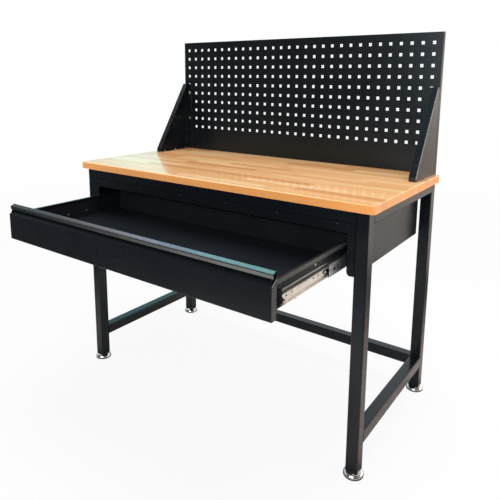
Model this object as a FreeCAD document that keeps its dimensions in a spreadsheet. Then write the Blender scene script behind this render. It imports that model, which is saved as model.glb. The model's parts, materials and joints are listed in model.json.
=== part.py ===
import FreeCAD, Part
import os
import re
import Sketcher

# Workbench with a pegboard back and one wide drawer, in millimetres.
# X runs to the right, the front faces -Y, Z is up. The origin lies on the floor under the middle
# of the whole bench with its drawer pulled out. Every piece is drawn in the bench's own frame, with
# the drawer shut and y measured from the middle of the four feet. Its placement then moves it to
# where it stands with the drawer pulled out.

SIZES = {
    # square tube frame
    "bench_wide": 1162,
    "bench_deep": 578,
    "tube": 38,
    "tube_wall": 1.5,
    "tube_round": 4,
    "frame_top": 795,
    "low_rail_top": 136,
    # levelling feet
    "foot_high": 18,
    "foot_rim": 11,
    "foot_dome": 13,
    "stud_round": 5,
    "stud_long": 58,
    "stud_start": 3,
    "plug_high": 22,
    "plug_play": 0.1,
    "turn_play": 0.3,
    # wooden worktop
    "top_thick": 25,
    "top_side": 19,
    "top_overhang": 15.5,
    "top_gap": 1.5,
    "top_corner": 9,
    "top_round": 4,
    "top_bolt_end": 71,
    "top_bolt_bite": 18,
    # pegboard panel
    "board_in": 1,
    "board_high": 480,
    "board_deep": 20,
    "board_sheet": 1.5,
    "board_round": 1.2,
    "board_screw_end": 43,
    "peg_pitch": 38,
    "peg_hole": 11,
    "peg_first": 103.5,
    "peg_edge": 29,
    "peg_top": 34.5,
    # triangular side plates of the pegboard
    "gusset_high": 297,
    "gusset_deep": 190,
    "gusset_tip": 14,
    "gusset_flange": 25,
    "gusset_bolt_edge": 11,
    "gusset_sheet": 2,
    "gusset_bend": 2.6,
    "gusset_corner": 10,
    "gusset_hole": 5,
    "gusset_screw_in": 12.5,
    "gusset_screw_first": 17,
    "gusset_screw_last": 37,
    "slope_hole_first": 37,
    "slope_hole_last": 48,
    # drawer case
    "case_sheet": 1.2,
    "case_rear_gap": 60,
    "case_flange": 16,
    "case_gap": 0.1,
    "case_floor_start": 80,
    "face_flange": 21.5,
    "face_corner": 12,
    "band_high": 27,
    "band_flange": 30,
    "opening_gap": 2,
    # posts that carry the runners
    "post_long": 40,
    "post_foot": 10,
    "post_tall": 52,
    "post_start": 10,
    "post_end": 30,
    # telescopic ball runners
    "slide_up": 39,
    "slide_setback": 44,
    "slide_room": 74,
    "slide_thick": 12.7,
    "slide_sheet": 1.2,
    "slide_play": 0.5,
    "outer_tall": 45,
    "outer_reach": 9.8,
    "outer_lip": 2.1,
    "middle_tall": 34.4,
    "middle_inset": 2,
    "middle_reach": 9.4,
    "inner_tall": 23.8,
    "inner_reach": 7.7,
    "slide_hole": 3,
    "slide_hole_end": 26,
    "slide_hole_step": 22,
    "inner_hole_first": 30,
    "inner_hole_second": 157,
    "inner_hole_step": 26,
    "tab_back": 72.7,
    "tab_half": 5.2,
    "tab_low": 22.8,
    "tab_hole_low": 18.5,
    "tab_hole": 1.9,
    "slide_screw_first": 170,
    "slide_screw_second": 250,
    "ball_round": 1.75,
    "cage_sheet": 0.4,
    "cage_play": 0.2,
    "cage_margin": 6.5,
    "outer_cage_long": 150,
    "cage_reach": 6,
    "cage_end": 10,
    # release levers of the runners
    "lever_pivot": 213,
    "lever_long": 30,
    "lever_hub": 5.5,
    "lever_thick": 2.5,
    "lever_drop": 5,
    "lever_tip": 2,
    "lever_pin": 2,
    "lever_pin_cap": 4,
    # buffers at the front of the inner members
    "buffer_wide": 11,
    "buffer_high": 26,
    "buffer_low": 8,
    "buffer_round": 3,
    "buffer_play": 0.3,
    "tongue_long": 14,
    "tongue_wide": 6,
    "tongue_top": 2,
    "tongue_low": 10.4,
    # drawer
    "drawer_gap": 4.5,
    "drawer_rise": 2,
    "drawer_high": 116,
    "face_high": 83.5,
    "drawer_sheet": 1.2,
    "drawer_round": 1,
    "pull_run": 20,
    "pull_rise": 11,
    "pull_lip_high": 15,
    "pull_lip_in": 5,
    "tray_up": 18,
    "tray_high": 69,
    "tray_front_gap": 6,
    "tray_room": 59.8,
    "tray_hem": 8,
    "side_hem_high": 10.5,
    "side_hem_thick": 1,
    # how far the drawer stands from fully out, and its travel for each unit of the middle members'
    "drawer_left": 34,
    "middle_share": 2.6,
    # fasteners
    "bolt_round": 3,
    "bolt_head": 6,
    "bolt_head_high": 3.5,
    "bolt_end": 2,
    "nut_round": 5.5,
    "nut_high": 5,
    "screw_round": 2,
    "screw_head": 4.5,
    "screw_head_high": 2.2,
    "screw_long": 18,
    "screw_end": 3,
    "slide_screw_round": 1.6,
    "slide_screw_head": 4,
    "pilot_end": 1,
    "hole_play": 0.3,
}

# lines and lengths that several pieces share, worked out from the sizes above
LINES = {
    "leg_out": "bench_wide / 2",
    "leg_in": "bench_wide / 2 - tube",
    "rail_mid": "bench_wide / 2 - tube / 2",
    "front": "-bench_deep / 2",
    "rear": "bench_deep / 2",
    "rail_front": "front + tube",
    "rail_rear": "rear - tube",
    "foot_round": "tube / 2 + foot_rim",
    "table": "frame_top + top_thick",
    "top_half": "leg_out + top_side",
    "top_front": "front - top_overhang",
    "top_rear": "board_front - top_gap",
    "top_bolt_step": "rail_rear - top_bolt_end",
    "board_half": "leg_out - board_in",
    "board_front": "rear - board_deep",
    "board_back": "board_front + board_sheet",
    "board_top": "table + board_high",
    "board_screw_step": "(leg_in - board_screw_end) / 2",
    "peg_columns": "floor(2 * (board_half - peg_edge) / peg_pitch + 0.01) + 1",
    "peg_rows": "floor((board_high - peg_first - peg_top) / peg_pitch + 0.01) + 1",
    "covered_rows": "ceil((gusset_high - peg_first - peg_hole / 2) / peg_pitch)",
    "first_column": "peg_pitch * (peg_columns - 1) / 2",
    "first_row": "table + peg_first",
    "gusset_face": "board_front - gusset_sheet",
    "gusset_front": "board_front - gusset_deep",
    "gusset_back_in": "first_column - gusset_bolt_edge",
    "gusset_peak": "table + gusset_high",
    "gusset_slope_foot": "table + gusset_tip",
    "gusset_lean": "(gusset_deep - gusset_tip) / (gusset_high - gusset_tip)",
    "slope_hole_step": "(gusset_high - gusset_tip - slope_hole_first - slope_hole_last) / 2",
    "gusset_shift": "gusset_sheet * sqrt(1 + gusset_lean ^ 2)",
    "gusset_slope_top": "board_front - gusset_tip + gusset_shift - gusset_sheet * gusset_lean",
    "gusset_screw_step": "(gusset_deep - gusset_screw_first - gusset_screw_last) / 2",
    "case_in": "leg_in - case_sheet",
    "case_rear": "rear - case_rear_gap",
    "case_top": "frame_top - tube",
    "opening": "leg_in - face_flange",
    "opening_top": "case_top - band_high",
    "pull_top": "opening_top - opening_gap",
    "pull_lip_low": "pull_top - pull_lip_high",
    "pull_wall": "front + pull_run",
    "pull_lip": "front + pull_lip_in",
    "pull_lean": "pull_rise / pull_run",
    "pull_under": "drawer_sheet * sqrt(1 + pull_lean ^ 2)",
    "drawer_low": "pull_top - drawer_high",
    "drawer_half": "opening - drawer_gap",
    "face_top": "drawer_low + face_high",
    "slope_top": "face_top + pull_rise",
    "case_low": "drawer_low - drawer_rise",
    "slide_mid": "drawer_low + slide_up",
    "slide_face": "opening - slide_play",
    "slide_front": "front + slide_setback",
    "slide_rear": "case_rear - slide_room",
    "slide_long": "slide_rear - slide_front",
    "tray_half": "slide_face - slide_thick",
    "tray_in": "tray_half - drawer_sheet",
    "tray_front": "pull_wall + drawer_sheet",
    "tray_rear": "case_rear - tray_room",
    "tray_floor": "drawer_low + tray_up",
    "tray_top": "tray_floor + tray_high",
    "tray_front_top": "pull_top - tray_front_gap",
    "inner_web": "tray_half + slide_sheet",
    "lever_in": "inner_web + turn_play",
    "lever_out": "lever_in + lever_thick",
    "pin_cap_in": "lever_out + turn_play",
    "lever_at": "slide_front + lever_pivot",
    "drawer_open": "slide_long - drawer_left",
    "middle_out": "drawer_open / middle_share",
    "outer_cage_web": "slide_sheet + cage_play",
    "outer_cage_level": "(outer_tall + middle_tall) / 4 - slide_sheet / 2",
    "outer_cage_start": "slide_front + slide_long / (2 * middle_share) + cage_margin",
    "outer_cage_end": "outer_cage_start + outer_cage_long",
    "inner_cage_web": "middle_inset + slide_sheet + cage_play",
    "inner_cage_level": "(middle_tall + inner_tall) / 4 - slide_sheet / 2",
    "inner_cage_start": "slide_front + slide_long * (middle_share - 1) / (2 * middle_share) + cage_margin",
    "inner_cage_end": "slide_front + slide_long * (middle_share + 1) / (2 * middle_share) - cage_margin",
    # y of each group with the drawer pulled out by drawer_open, which puts the origin midway
    # between the drawer's face and the rims of the rear feet
    "bench_at": "(drawer_open + tube / 2 - foot_round) / 2",
    "drawer_at": "bench_at - drawer_open",
    "middle_at": "bench_at - middle_out",
    "outer_cage_at": "bench_at - middle_out / 2",
    "inner_cage_at": "bench_at - (middle_out + drawer_open) / 2",
}
HANDS = {"left": "-1", "right": "1"}
SLIDE_SCREWS = ("slide_screw_first", "slide_screw_second")

doc = FreeCAD.newDocument("workbench")
sheet = doc.addObject("Spreadsheet::Sheet", "Sizes")
for row, (alias, value) in enumerate(SIZES.items(), 1):
    sheet.set(f"A{row}", alias)
    sheet.set(f"B{row}", str(value))
    sheet.setAlias(f"B{row}", alias)
doc.recompute()

pieces = []


def spell_out(text):
    def write(match):
        word = match.group(0)
        return f"({spell_out(LINES[word])})" if word in LINES else word
    return re.sub(r"[a-z_]+", write, text)


def size(text):
    return float(sheet.evalExpression(spell_out(text)))


def bound(text):
    def write(match):
        word = match.group(0)
        return f"Sizes.{word}" if word in SIZES else word
    return re.sub(r"[a-z_]+", write, spell_out(text))


def new_body(label, pose="bench_at", keep=True):
    body = doc.addObject("PartDesign::Body", label)
    body.Label = label
    if keep:
        body.setExpression("Placement.Base.y", bound(pose))
        pieces.append(body)
    return body


def sketch_on(body, axis, level):
    role = {"x": "YZ_Plane", "y": "XZ_Plane", "z": "XY_Plane"}[axis]
    sketch = body.newObject("Sketcher::SketchObject", body.Label + "_sketch")
    support = next(plane for plane in body.Origin.OriginFeatures if plane.Role == role)
    sketch.AttachmentSupport = [(support, "")]
    sketch.MapMode = "FlatFace"
    offset = f"-({level})" if axis == "y" else level
    sketch.setExpression("AttachmentOffset.Base.z", bound(offset))
    return sketch


def fix_point(sketch, geometry, corner, point):
    for kind, text in zip(("DistanceX", "DistanceY"), point):
        rule = sketch.addConstraint(Sketcher.Constraint(kind, -1, 1, geometry, corner, size(text)))
        sketch.setExpression(f"Constraints[{rule}]", bound(text))


def draw_outline(sketch, points):
    first = sketch.GeometryCount
    count = len(points)
    corners = [FreeCAD.Vector(size(across), size(up), 0) for across, up in points]
    for index in range(count):
        sketch.addGeometry(Part.LineSegment(corners[index], corners[(index + 1) % count]))
    for index in range(count):
        following = first + (index + 1) % count
        sketch.addConstraint(Sketcher.Constraint("Coincident", first + index, 2, following, 1))
    for index, point in enumerate(points):
        fix_point(sketch, first + index, 1, point)


def draw_circle(sketch, centre, radius):
    middle = FreeCAD.Vector(size(centre[0]), size(centre[1]), 0)
    round_line = Part.Circle(middle, FreeCAD.Vector(0, 0, 1), size(radius))
    circle = sketch.addGeometry(round_line)
    fix_point(sketch, circle, 3, centre)
    rule = sketch.addConstraint(Sketcher.Constraint("Radius", circle, size(radius)))
    sketch.setExpression(f"Constraints[{rule}]", bound(radius))


def draw_all(sketch, outlines, circles):
    for points in outlines:
        draw_outline(sketch, points)
    for centre, radius in circles:
        draw_circle(sketch, centre, radius)


def add_slab(body, axis, low, high, *outlines, circles=()):
    sketch = sketch_on(body, axis, high if axis == "y" else low)
    draw_all(sketch, outlines, circles)
    pad = body.newObject("PartDesign::Pad", body.Label + "_pad")
    pad.Profile = sketch
    pad.setExpression("Length", bound(f"({high}) - ({low})"))
    doc.recompute()
    return pad


def cut_slab(body, axis, low, high, *outlines, circles=()):
    before = body.Shape.Volume
    sketch = sketch_on(body, axis, low if axis == "y" else high)
    draw_all(sketch, outlines, circles)
    pocket = body.newObject("PartDesign::Pocket", body.Label + "_pocket")
    pocket.Profile = sketch
    pocket.setExpression("Length", bound(f"({high}) - ({low})"))
    doc.recompute()
    if body.Shape.Volume >= before:
        raise ValueError(f"a cut in {body.Label} removes nothing")
    return pocket


def round_edges(body, radius, chosen):
    base = body.Tip
    names = [f"Edge{number}" for number, edge in enumerate(base.Shape.Edges, 1) if chosen(edge)]
    fillet = body.newObject("PartDesign::Fillet", body.Label + "_fillet")
    fillet.Base = (base, names)
    fillet.setExpression("Radius", bound(radius))
    doc.recompute()
    return fillet


def runs_along(axis):
    direction = FreeCAD.Vector(*[float(axis == name) for name in "xyz"])

    def chosen(edge):
        line = edge.Vertexes[-1].Point - edge.Vertexes[0].Point
        return line.Length > 0 and line.cross(direction).Length < 1e-6 * line.Length
    return chosen


def edge_lies_on(axis, *places):
    along = runs_along(axis)
    first, second = [number for number, name in enumerate("xyz") if name != axis]
    wanted = [(size(across), size(up)) for across, up in places]

    def chosen(edge):
        point = edge.Vertexes[0].Point
        near = any(abs(point[first] - u) < 1e-3 and abs(point[second] - v) < 1e-3 for u, v in wanted)
        return along(edge) and near
    return chosen


def rectangle(left, low, right, high):
    return [(left, low), (right, low), (right, high), (left, high)]


def hand_span(hand, inner, outer):
    if hand == "right":
        return inner, outer
    return f"-({outer})", f"-({inner})"


def hand_outline(hand, points):
    sign = HANDS[hand]
    return [(f"{sign} * ({across})", up) for across, up in points]


def placed_copies(template, places):
    copies = []
    for place in places:
        copy = template.Shape.copy()
        copy.translate(FreeCAD.Vector(*[size(text) for text in place]))
        copies.append(copy)
    return copies


def add_group(label, shapes, pose):
    group = doc.addObject("Part::Feature", label)
    group.Label = label
    group.Shape = Part.makeCompound(shapes)
    group.Placement.Base.y = size(pose)
    pieces.append(group)


def repeat(label, template, places, pose="bench_at"):
    add_group(label, placed_copies(template, places), pose)


def turned_body(label, profile, pose="bench_at", keep=True):
    body = new_body(label, pose, keep)
    sketch = sketch_on(body, "y", "0")
    draw_outline(sketch, profile)
    turn = body.newObject("PartDesign::Revolution", label + "_turn")
    turn.Profile = sketch
    turn.ReferenceAxis = (sketch, ["V_Axis"])
    turn.Angle = 360
    doc.recompute()
    return body


def make_tube(label, axis, low, high, across, up):
    body = new_body(label)
    outside = rectangle(across, up, f"{across} + tube", f"{up} + tube")
    inside = rectangle(
        f"{across} + tube_wall", f"{up} + tube_wall",
        f"{across} + tube - tube_wall", f"{up} + tube - tube_wall")
    add_slab(body, axis, low, high, outside)
    round_edges(body, "tube_round", runs_along(axis))
    cut_slab(body, axis, low, high, inside)
    return body


def make_frame():
    for hand in HANDS:
        side = hand_span(hand, "leg_in", "leg_out")[0]
        make_tube(f"front_{hand}_leg", "z", "foot_high", "frame_top", side, "front")
        make_tube(f"rear_{hand}_leg", "z", "foot_high", "frame_top", side, "rail_rear")
        upper = make_tube(f"{hand}_upper_rail", "y", "rail_front", "rail_rear", side, "case_top")
        holes = [(place, "bolt_round + hole_play") for place in top_bolt_places([hand])]
        cut_slab(upper, "z", "case_top", "frame_top", circles=holes)
        make_tube(f"{hand}_lower_rail", "y", "rail_front", "rail_rear", side, "(low_rail_top - tube)")
    make_tube("front_upper_rail", "x", "-leg_in", "leg_in", "front", "case_top")
    rear = make_tube("rear_upper_rail", "x", "-leg_in", "leg_in", "rail_rear", "case_top")
    holes = [(place, "screw_round + hole_play") for place in board_screw_places()]
    cut_slab(rear, "z", "frame_top - tube_wall", "frame_top", circles=holes)
    make_tube("rear_lower_rail", "x", "-leg_in", "leg_in", "rail_rear", "(low_rail_top - tube)")


def board_screw_places():
    line = "board_front + board_deep / 2"
    return [(f"{step} * board_screw_step", line) for step in (-2, -1, 0, 1, 2)]


def dome_profile():
    # the foot's round shoulder, turned in bands
    profile = [("stud_round + plug_play", "0"), ("foot_round", "0")]
    for angle in (0, 30, 60, 90):
        across = f"foot_round - foot_dome * (1 - cos({angle} deg))"
        profile.append((across, f"foot_high - foot_dome * (1 - sin({angle} deg))"))
    return profile + [("stud_round + plug_play", "foot_high")]


def make_feet():
    stud_profile = rectangle("0", "stud_start", "stud_round", "stud_long")
    plug = new_body("plug_template", keep=False)
    half = "(tube / 2 - tube_wall - plug_play)"
    add_slab(plug, "z", "foot_high", "foot_high + plug_high", rectangle(f"-{half}", f"-{half}", half, half))
    bore = (("0", "0"), "stud_round + turn_play")
    cut_slab(plug, "z", "foot_high", "foot_high + plug_high", circles=[bore])
    corners = {}
    for hand, sign in HANDS.items():
        corners[f"front_{hand}"] = (f"{sign} * rail_mid", "front + tube / 2", "0")
        corners[f"rear_{hand}"] = (f"{sign} * rail_mid", "rear - tube / 2", "0")
    for corner, (across, along, _) in corners.items():
        dome = turned_body(f"{corner}_foot", dome_profile())
        stud = turned_body(f"{corner}_foot_stud", stud_profile)
        for body in (dome, stud):
            body.setExpression("Placement.Base.x", bound(across))
            body.setExpression("Placement.Base.y", bound(f"bench_at + {along}"))
    repeat("leg_plugs", plug, corners.values())


def gusset_screw_places(hands=HANDS):
    places = []
    for hand in hands:
        for step in range(3):
            along = f"board_front - gusset_screw_first - {step} * gusset_screw_step"
            places.append((f"{HANDS[hand]} * (board_half - gusset_screw_in)", along))
    return places


def top_bolt_places(hands=HANDS):
    return [(f"{HANDS[hand]} * rail_mid", f"{step} * top_bolt_step") for hand in hands for step in (-1, 0, 1)]


def make_worktop():
    body = new_body("worktop")
    outside = rectangle("-top_half", "top_front", "top_half", "top_rear")
    add_slab(body, "z", "frame_top", "table", outside)
    round_edges(body, "top_corner", runs_along("z"))
    level = size("table")
    round_edges(body, "top_round", lambda edge: edge.BoundBox.ZMin > level - 1e-6)
    bolts = [(place, "bolt_round + hole_play") for place in top_bolt_places()]
    cut_slab(body, "z", "frame_top", "frame_top + top_bolt_bite + pilot_end", circles=bolts)
    screws = [(place, "screw_round + hole_play") for place in gusset_screw_places()]
    cut_slab(body, "z", "table - screw_long", "table", circles=screws)


def gusset_bolt_places(hands=HANDS):
    # in the second and the last of the rows that the side plates cover
    places = []
    for hand in hands:
        for row in ("1", "(covered_rows - 1)"):
            places.append((f"{HANDS[hand]} * first_column", f"first_row + {row} * peg_pitch"))
    return places


def square_hole(across, up):
    half = "peg_hole / 2"
    return rectangle(f"{across} - {half}", f"{up} - {half}", f"{across} + {half}", f"{up} + {half}")


def peg_field(body, across, up, columns, column_length, rows, row_length):
    pocket = cut_slab(body, "y", "board_front", "board_back", square_hole(across, up))
    field = body.newObject("PartDesign::LinearPattern", "peg_field")
    field.Originals = [pocket]
    field.Direction = (pocket.Profile[0], ["H_Axis"])
    field.Direction2 = (pocket.Profile[0], ["V_Axis"])
    field.setExpression("Length", bound(column_length))
    field.setExpression("Occurrences", bound(columns))
    field.setExpression("Length2", bound(row_length))
    field.setExpression("Occurrences2", bound(rows))
    body.Tip = field
    doc.recompute()


def make_pegboard():
    body = new_body("pegboard")
    outside = rectangle("-board_half", "frame_top", "board_half", "board_top")
    inside = rectangle(
        "board_sheet - board_half", "frame_top + board_sheet",
        "board_half - board_sheet", "board_top - board_sheet")
    add_slab(body, "y", "board_front", "rear", outside)
    face = size("board_front")
    round_edges(body, "board_round", lambda edge: edge.BoundBox.YMax < face + 1e-6)
    cut_slab(body, "y", "board_back", "rear", inside)
    bolts = [(place, "bolt_round + hole_play") for place in gusset_bolt_places()]
    cut_slab(body, "y", "board_front", "board_back", circles=bolts)
    screws = [(place, "screw_round + hole_play") for place in board_screw_places()]
    cut_slab(body, "z", "frame_top", "frame_top + board_sheet", circles=screws)
    peg_field(
        body, "peg_pitch - first_column", "first_row",
        "peg_columns - 2", "peg_pitch * (peg_columns - 3)",
        "peg_rows", "peg_pitch * (peg_rows - 1)")
    peg_field(
        body, "-first_column", "first_row + peg_pitch * covered_rows",
        "2", "peg_pitch * (peg_columns - 1)",
        "peg_rows - covered_rows", "peg_pitch * (peg_rows - covered_rows - 1)")


def make_gusset(hand):
    # a folded plate: side, sloped front flange with its free corner cut off, foot and back flange
    body = new_body(f"{hand}_gusset")
    side = size("board_half")
    outside = [
        ("board_front", "table"), ("board_front", "gusset_peak"), ("board_front - gusset_tip", "gusset_peak"),
        ("gusset_front", "gusset_slope_foot"), ("gusset_front", "table")]
    inside = [
        ("gusset_face", "table + gusset_sheet"), ("gusset_face", "gusset_peak - gusset_sheet"),
        ("gusset_slope_top", "gusset_peak - gusset_sheet"),
        ("gusset_front + gusset_sheet", "gusset_slope_foot + (gusset_sheet - gusset_shift) / gusset_lean"),
        ("gusset_front + gusset_sheet", "table + gusset_sheet")]
    add_slab(body, "x", *hand_span(hand, "board_half - gusset_flange", "board_half"), outside)
    round_edges(
        body, "gusset_bend", lambda edge: all(abs(v.Point.x) > side - 1e-6 for v in edge.Vertexes))
    cut_slab(body, "x", *hand_span(hand, "board_half - gusset_flange", "board_half - gusset_sheet"), inside)
    free_edge = "board_half - gusset_flange"
    corner = [
        (free_edge, "gusset_peak - gusset_corner"), (f"{free_edge} + gusset_corner", "gusset_peak"),
        (free_edge, "gusset_peak")]
    cut_slab(body, "y", "gusset_front", "gusset_face", hand_outline(hand, corner))
    left, right = hand_span(hand, "gusset_back_in", "board_half - gusset_sheet")
    add_slab(body, "y", "gusset_face", "board_front", rectangle(left, "table", right, "gusset_peak"))
    bolts = [(place, "bolt_round + hole_play") for place in gusset_bolt_places([hand])]
    cut_slab(body, "y", "gusset_face", "board_front", circles=bolts)
    screws = [(place, "screw_round + hole_play") for place in gusset_screw_places([hand])]
    cut_slab(body, "z", "table", "table + gusset_sheet", circles=screws)
    middle = f"{HANDS[hand]} * (board_half - gusset_flange / 2)"
    for step in range(3):
        rise = f"(slope_hole_first + {step} * slope_hole_step)"
        along = f"gusset_front + {rise} * gusset_lean"
        hole = ((middle, f"gusset_slope_foot + {rise}"), "gusset_hole")
        cut_slab(body, "y", f"{along} - 2 * gusset_hole", f"{along} + 2 * gusset_hole", circles=[hole])


def make_case():
    for hand in HANDS:
        body = new_body(f"case_{hand}_side")
        panel = [
            ("front", "case_low"), ("case_rear", "case_low"), ("case_rear", "frame_top - case_gap"),
            ("rail_front + case_gap", "frame_top - case_gap"),
            ("rail_front + case_gap", "case_top - case_gap"), ("front", "case_top - case_gap")]
        add_slab(body, "x", *hand_span(hand, "case_in", "leg_in"), panel)
        left, right = hand_span(hand, "opening", "leg_in")
        face = rectangle(left, "case_low", right, "case_top - case_gap")
        add_slab(body, "y", "front", "front + case_sheet", face)
        inner_corner = (f"{HANDS[hand]} * opening", "case_low")
        round_edges(body, "face_corner", edge_lies_on("y", inner_corner))
        left, right = hand_span(hand, "leg_in - case_flange", "leg_in")
        rear = rectangle(left, "case_low", right, "case_top - case_gap")
        add_slab(body, "y", "case_rear - case_sheet", "case_rear", rear)
        floor = rectangle(left, "front", right, "case_rear")
        add_slab(body, "z", "case_low", "case_low + case_sheet", floor)
    back = new_body("case_back")
    half = "(case_in - case_gap)"
    sheet_rear = "(case_rear - case_sheet)"
    low = "case_low + case_sheet + case_gap"
    add_slab(
        back, "y", f"{sheet_rear} - case_sheet", sheet_rear,
        rectangle(f"-{half}", low, half, "case_top - case_gap"))
    floor = new_body("case_bottom")
    flange_top = "case_low + case_sheet"
    add_slab(
        floor, "z", flange_top, f"{flange_top} + case_sheet",
        rectangle(f"-{half}", "front + case_floor_start", half, f"{sheet_rear} - case_sheet - case_gap"))
    band = new_body("case_front_band")
    half = "(opening - case_gap)"
    section = [
        ("front", "opening_top"), ("front + case_sheet", "opening_top"),
        ("front + case_sheet", "case_top - case_sheet"), ("front + band_flange", "case_top - case_sheet"),
        ("front + band_flange", "case_top"), ("front", "case_top")]
    add_slab(band, "x", f"-{half}", half, section)


def make_posts(hand):
    template = new_body(f"{hand}_post_template", keep=False)
    hat = [
        ("case_in", "0"), ("case_in", "post_foot"), ("slide_face + case_sheet", "post_foot"),
        ("slide_face + case_sheet", "post_foot + post_long"), ("case_in", "post_foot + post_long"),
        ("case_in", "2 * post_foot + post_long"), ("case_in - case_sheet", "2 * post_foot + post_long"),
        ("case_in - case_sheet", "post_foot + post_long + case_sheet"),
        ("slide_face", "post_foot + post_long + case_sheet"), ("slide_face", "post_foot - case_sheet"),
        ("case_in - case_sheet", "post_foot - case_sheet"), ("case_in - case_sheet", "0")]
    low = "slide_mid - post_tall / 2"
    add_slab(template, "z", low, "slide_mid + post_tall / 2", hand_outline(hand, hat))
    rear_start = "slide_rear - post_end - post_long - 2 * post_foot"
    places = [("0", start, "0") for start in ("slide_front + post_start", rear_start)]
    repeat(f"{hand}_runner_posts", template, places)


def channel(hand, web, reach, half, lip=None):
    # a C section, open towards the drawer, with its web nearest to the case
    across = [f"slide_face - ({web})", f"slide_face - ({web}) - slide_sheet"]
    tip = f"slide_face - ({reach})"
    low = f"slide_mid - ({half})"
    high = f"slide_mid + ({half})"
    if lip is None:
        top = [(tip, high), (tip, f"{high} - slide_sheet")]
        bottom = [(tip, f"{low} + slide_sheet"), (tip, low)]
    else:
        fold = f"{tip} + slide_sheet"
        top = [
            (tip, high), (tip, f"{high} - slide_sheet - {lip}"),
            (fold, f"{high} - slide_sheet - {lip}"), (fold, f"{high} - slide_sheet")]
        bottom = [
            (fold, f"{low} + slide_sheet"), (fold, f"{low} + slide_sheet + {lip}"),
            (tip, f"{low} + slide_sheet + {lip}"), (tip, low)]
    points = [(across[0], low), (across[0], high), *top]
    points += [(across[1], f"{high} - slide_sheet"), (across[1], f"{low} + slide_sheet"), *bottom]
    return hand_outline(hand, points)


def web_holes(body, hand, low, high, radius, distances, up="slide_mid"):
    circles = [((f"slide_front + {distance}", up), radius) for distance in distances]
    cut_slab(body, "x", *hand_span(hand, low, high), circles=circles)


def make_runner(hand):
    outer = new_body(f"{hand}_runner_outer")
    section = channel(hand, "0", "outer_reach", "outer_tall / 2", "outer_lip")
    add_slab(outer, "y", "slide_front", "slide_rear", section)
    middle = new_body(f"{hand}_runner_middle", "middle_at")
    section = channel(hand, "middle_inset", "middle_reach", "middle_tall / 2")
    add_slab(middle, "y", "slide_front", "slide_rear", section)
    web = "slide_face - middle_inset"
    first = "slide_hole_end"
    second = "slide_hole_end + slide_hole_step"
    ends = (first, second, "slide_long / 2", f"slide_long - ({second})", f"slide_long - {first}")
    web_holes(middle, hand, f"{web} - slide_sheet", web, "slide_hole", ends)
    inner = new_body(f"{hand}_runner_inner", "drawer_at")
    add_slab(inner, "y", "slide_front", "slide_rear", inner_section(hand))
    starts = ("inner_hole_first", "inner_hole_second")
    stamped = [f"{start} + {step} * inner_hole_step" for start in starts for step in (0, 1)]
    web_holes(inner, hand, "tray_half", "inner_web", "slide_hole", stamped)
    web_holes(inner, hand, "tray_half", "inner_web", "slide_screw_round + hole_play", SLIDE_SCREWS)
    web_holes(inner, hand, "tray_half", "inner_web", "lever_pin + hole_play", ["lever_pivot"])
    tab = rectangle(
        "slide_front + tab_back - tab_half", "slide_mid - tab_low",
        "slide_front + tab_back + tab_half", "slide_mid - inner_tall / 2 + slide_sheet")
    add_slab(inner, "x", *hand_span(hand, "tray_half", "inner_web"), tab)
    web_holes(inner, hand, "tray_half", "inner_web", "tab_hole", ["tab_back"], "slide_mid - tab_hole_low")


def inner_section(hand):
    # a C section, open towards the case, with its web on the side of the tray
    tip = "tray_half + inner_reach"
    low = "slide_mid - inner_tall / 2"
    high = "slide_mid + inner_tall / 2"
    points = [
        ("tray_half", low), ("tray_half", high), (tip, high), (tip, f"{high} - slide_sheet"),
        ("inner_web", f"{high} - slide_sheet"), ("inner_web", f"{low} + slide_sheet"),
        (tip, f"{low} + slide_sheet"), (tip, low)]
    return hand_outline(hand, points)


def make_buffer(hand):
    # a moulded block before the inner member, with a tongue that plugs into its channel
    body = new_body(f"{hand}_runner_buffer", "drawer_at")
    rear = "slide_front - buffer_play"
    block = rectangle(
        "tray_front + buffer_play", "slide_mid - buffer_low", rear, "slide_mid + buffer_high")
    add_slab(body, "x", *hand_span(hand, "tray_half", "tray_half + buffer_wide"), block)
    round_edges(body, "buffer_round", runs_along("x"))
    tongue = rectangle(
        rear, "slide_mid - tongue_low", "slide_front + tongue_long", "slide_mid - tongue_top")
    add_slab(body, "x", *hand_span(hand, "inner_web", "inner_web + tongue_wide"), tongue)


def ball_template():
    angles = (-90, -45, 0, 45, 90)
    profile = [(f"ball_round * cos({angle} deg)", f"ball_round * sin({angle} deg)") for angle in angles]
    return turned_body("ball_template", profile, keep=False)


def make_cage(hand, name, ball):
    # a thin C strip that spaces the balls above and below, with its balls
    body = new_body(f"{hand}_{name}_strip", keep=False)
    half = "cage_sheet / 2"
    low = f"slide_mid - {name}_level"
    high = f"slide_mid + {name}_level"
    back = f"slide_face - {name}_web"
    inner = f"{back} - cage_sheet"
    tip = f"{back} - cage_reach"
    points = [
        (back, f"{low} - {half}"), (back, f"{high} + {half}"), (tip, f"{high} + {half}"),
        (tip, f"{high} - {half}"), (inner, f"{high} - {half}"), (inner, f"{low} + {half}"),
        (tip, f"{low} + {half}"), (tip, f"{low} - {half}")]
    add_slab(body, "y", f"{name}_start", f"{name}_end", hand_outline(hand, points))
    across = f"{HANDS[hand]} * ({back} - (cage_reach + cage_sheet) / 2)"
    spots = [(across, f"{name}_start + cage_end"), (across, f"{name}_end - cage_end")]
    holes = [(spot, "ball_round + cage_play") for spot in spots]
    cut_slab(body, "z", f"{low} - {half}", f"{high} + {half}", circles=holes)
    shapes = [body.Shape.copy()]
    shapes += placed_copies(ball, [(*spot, up) for spot in spots for up in (low, high)])
    add_group(f"{hand}_{name.replace('cage', 'ball_cage')}", shapes, f"{name}_at")


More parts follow.
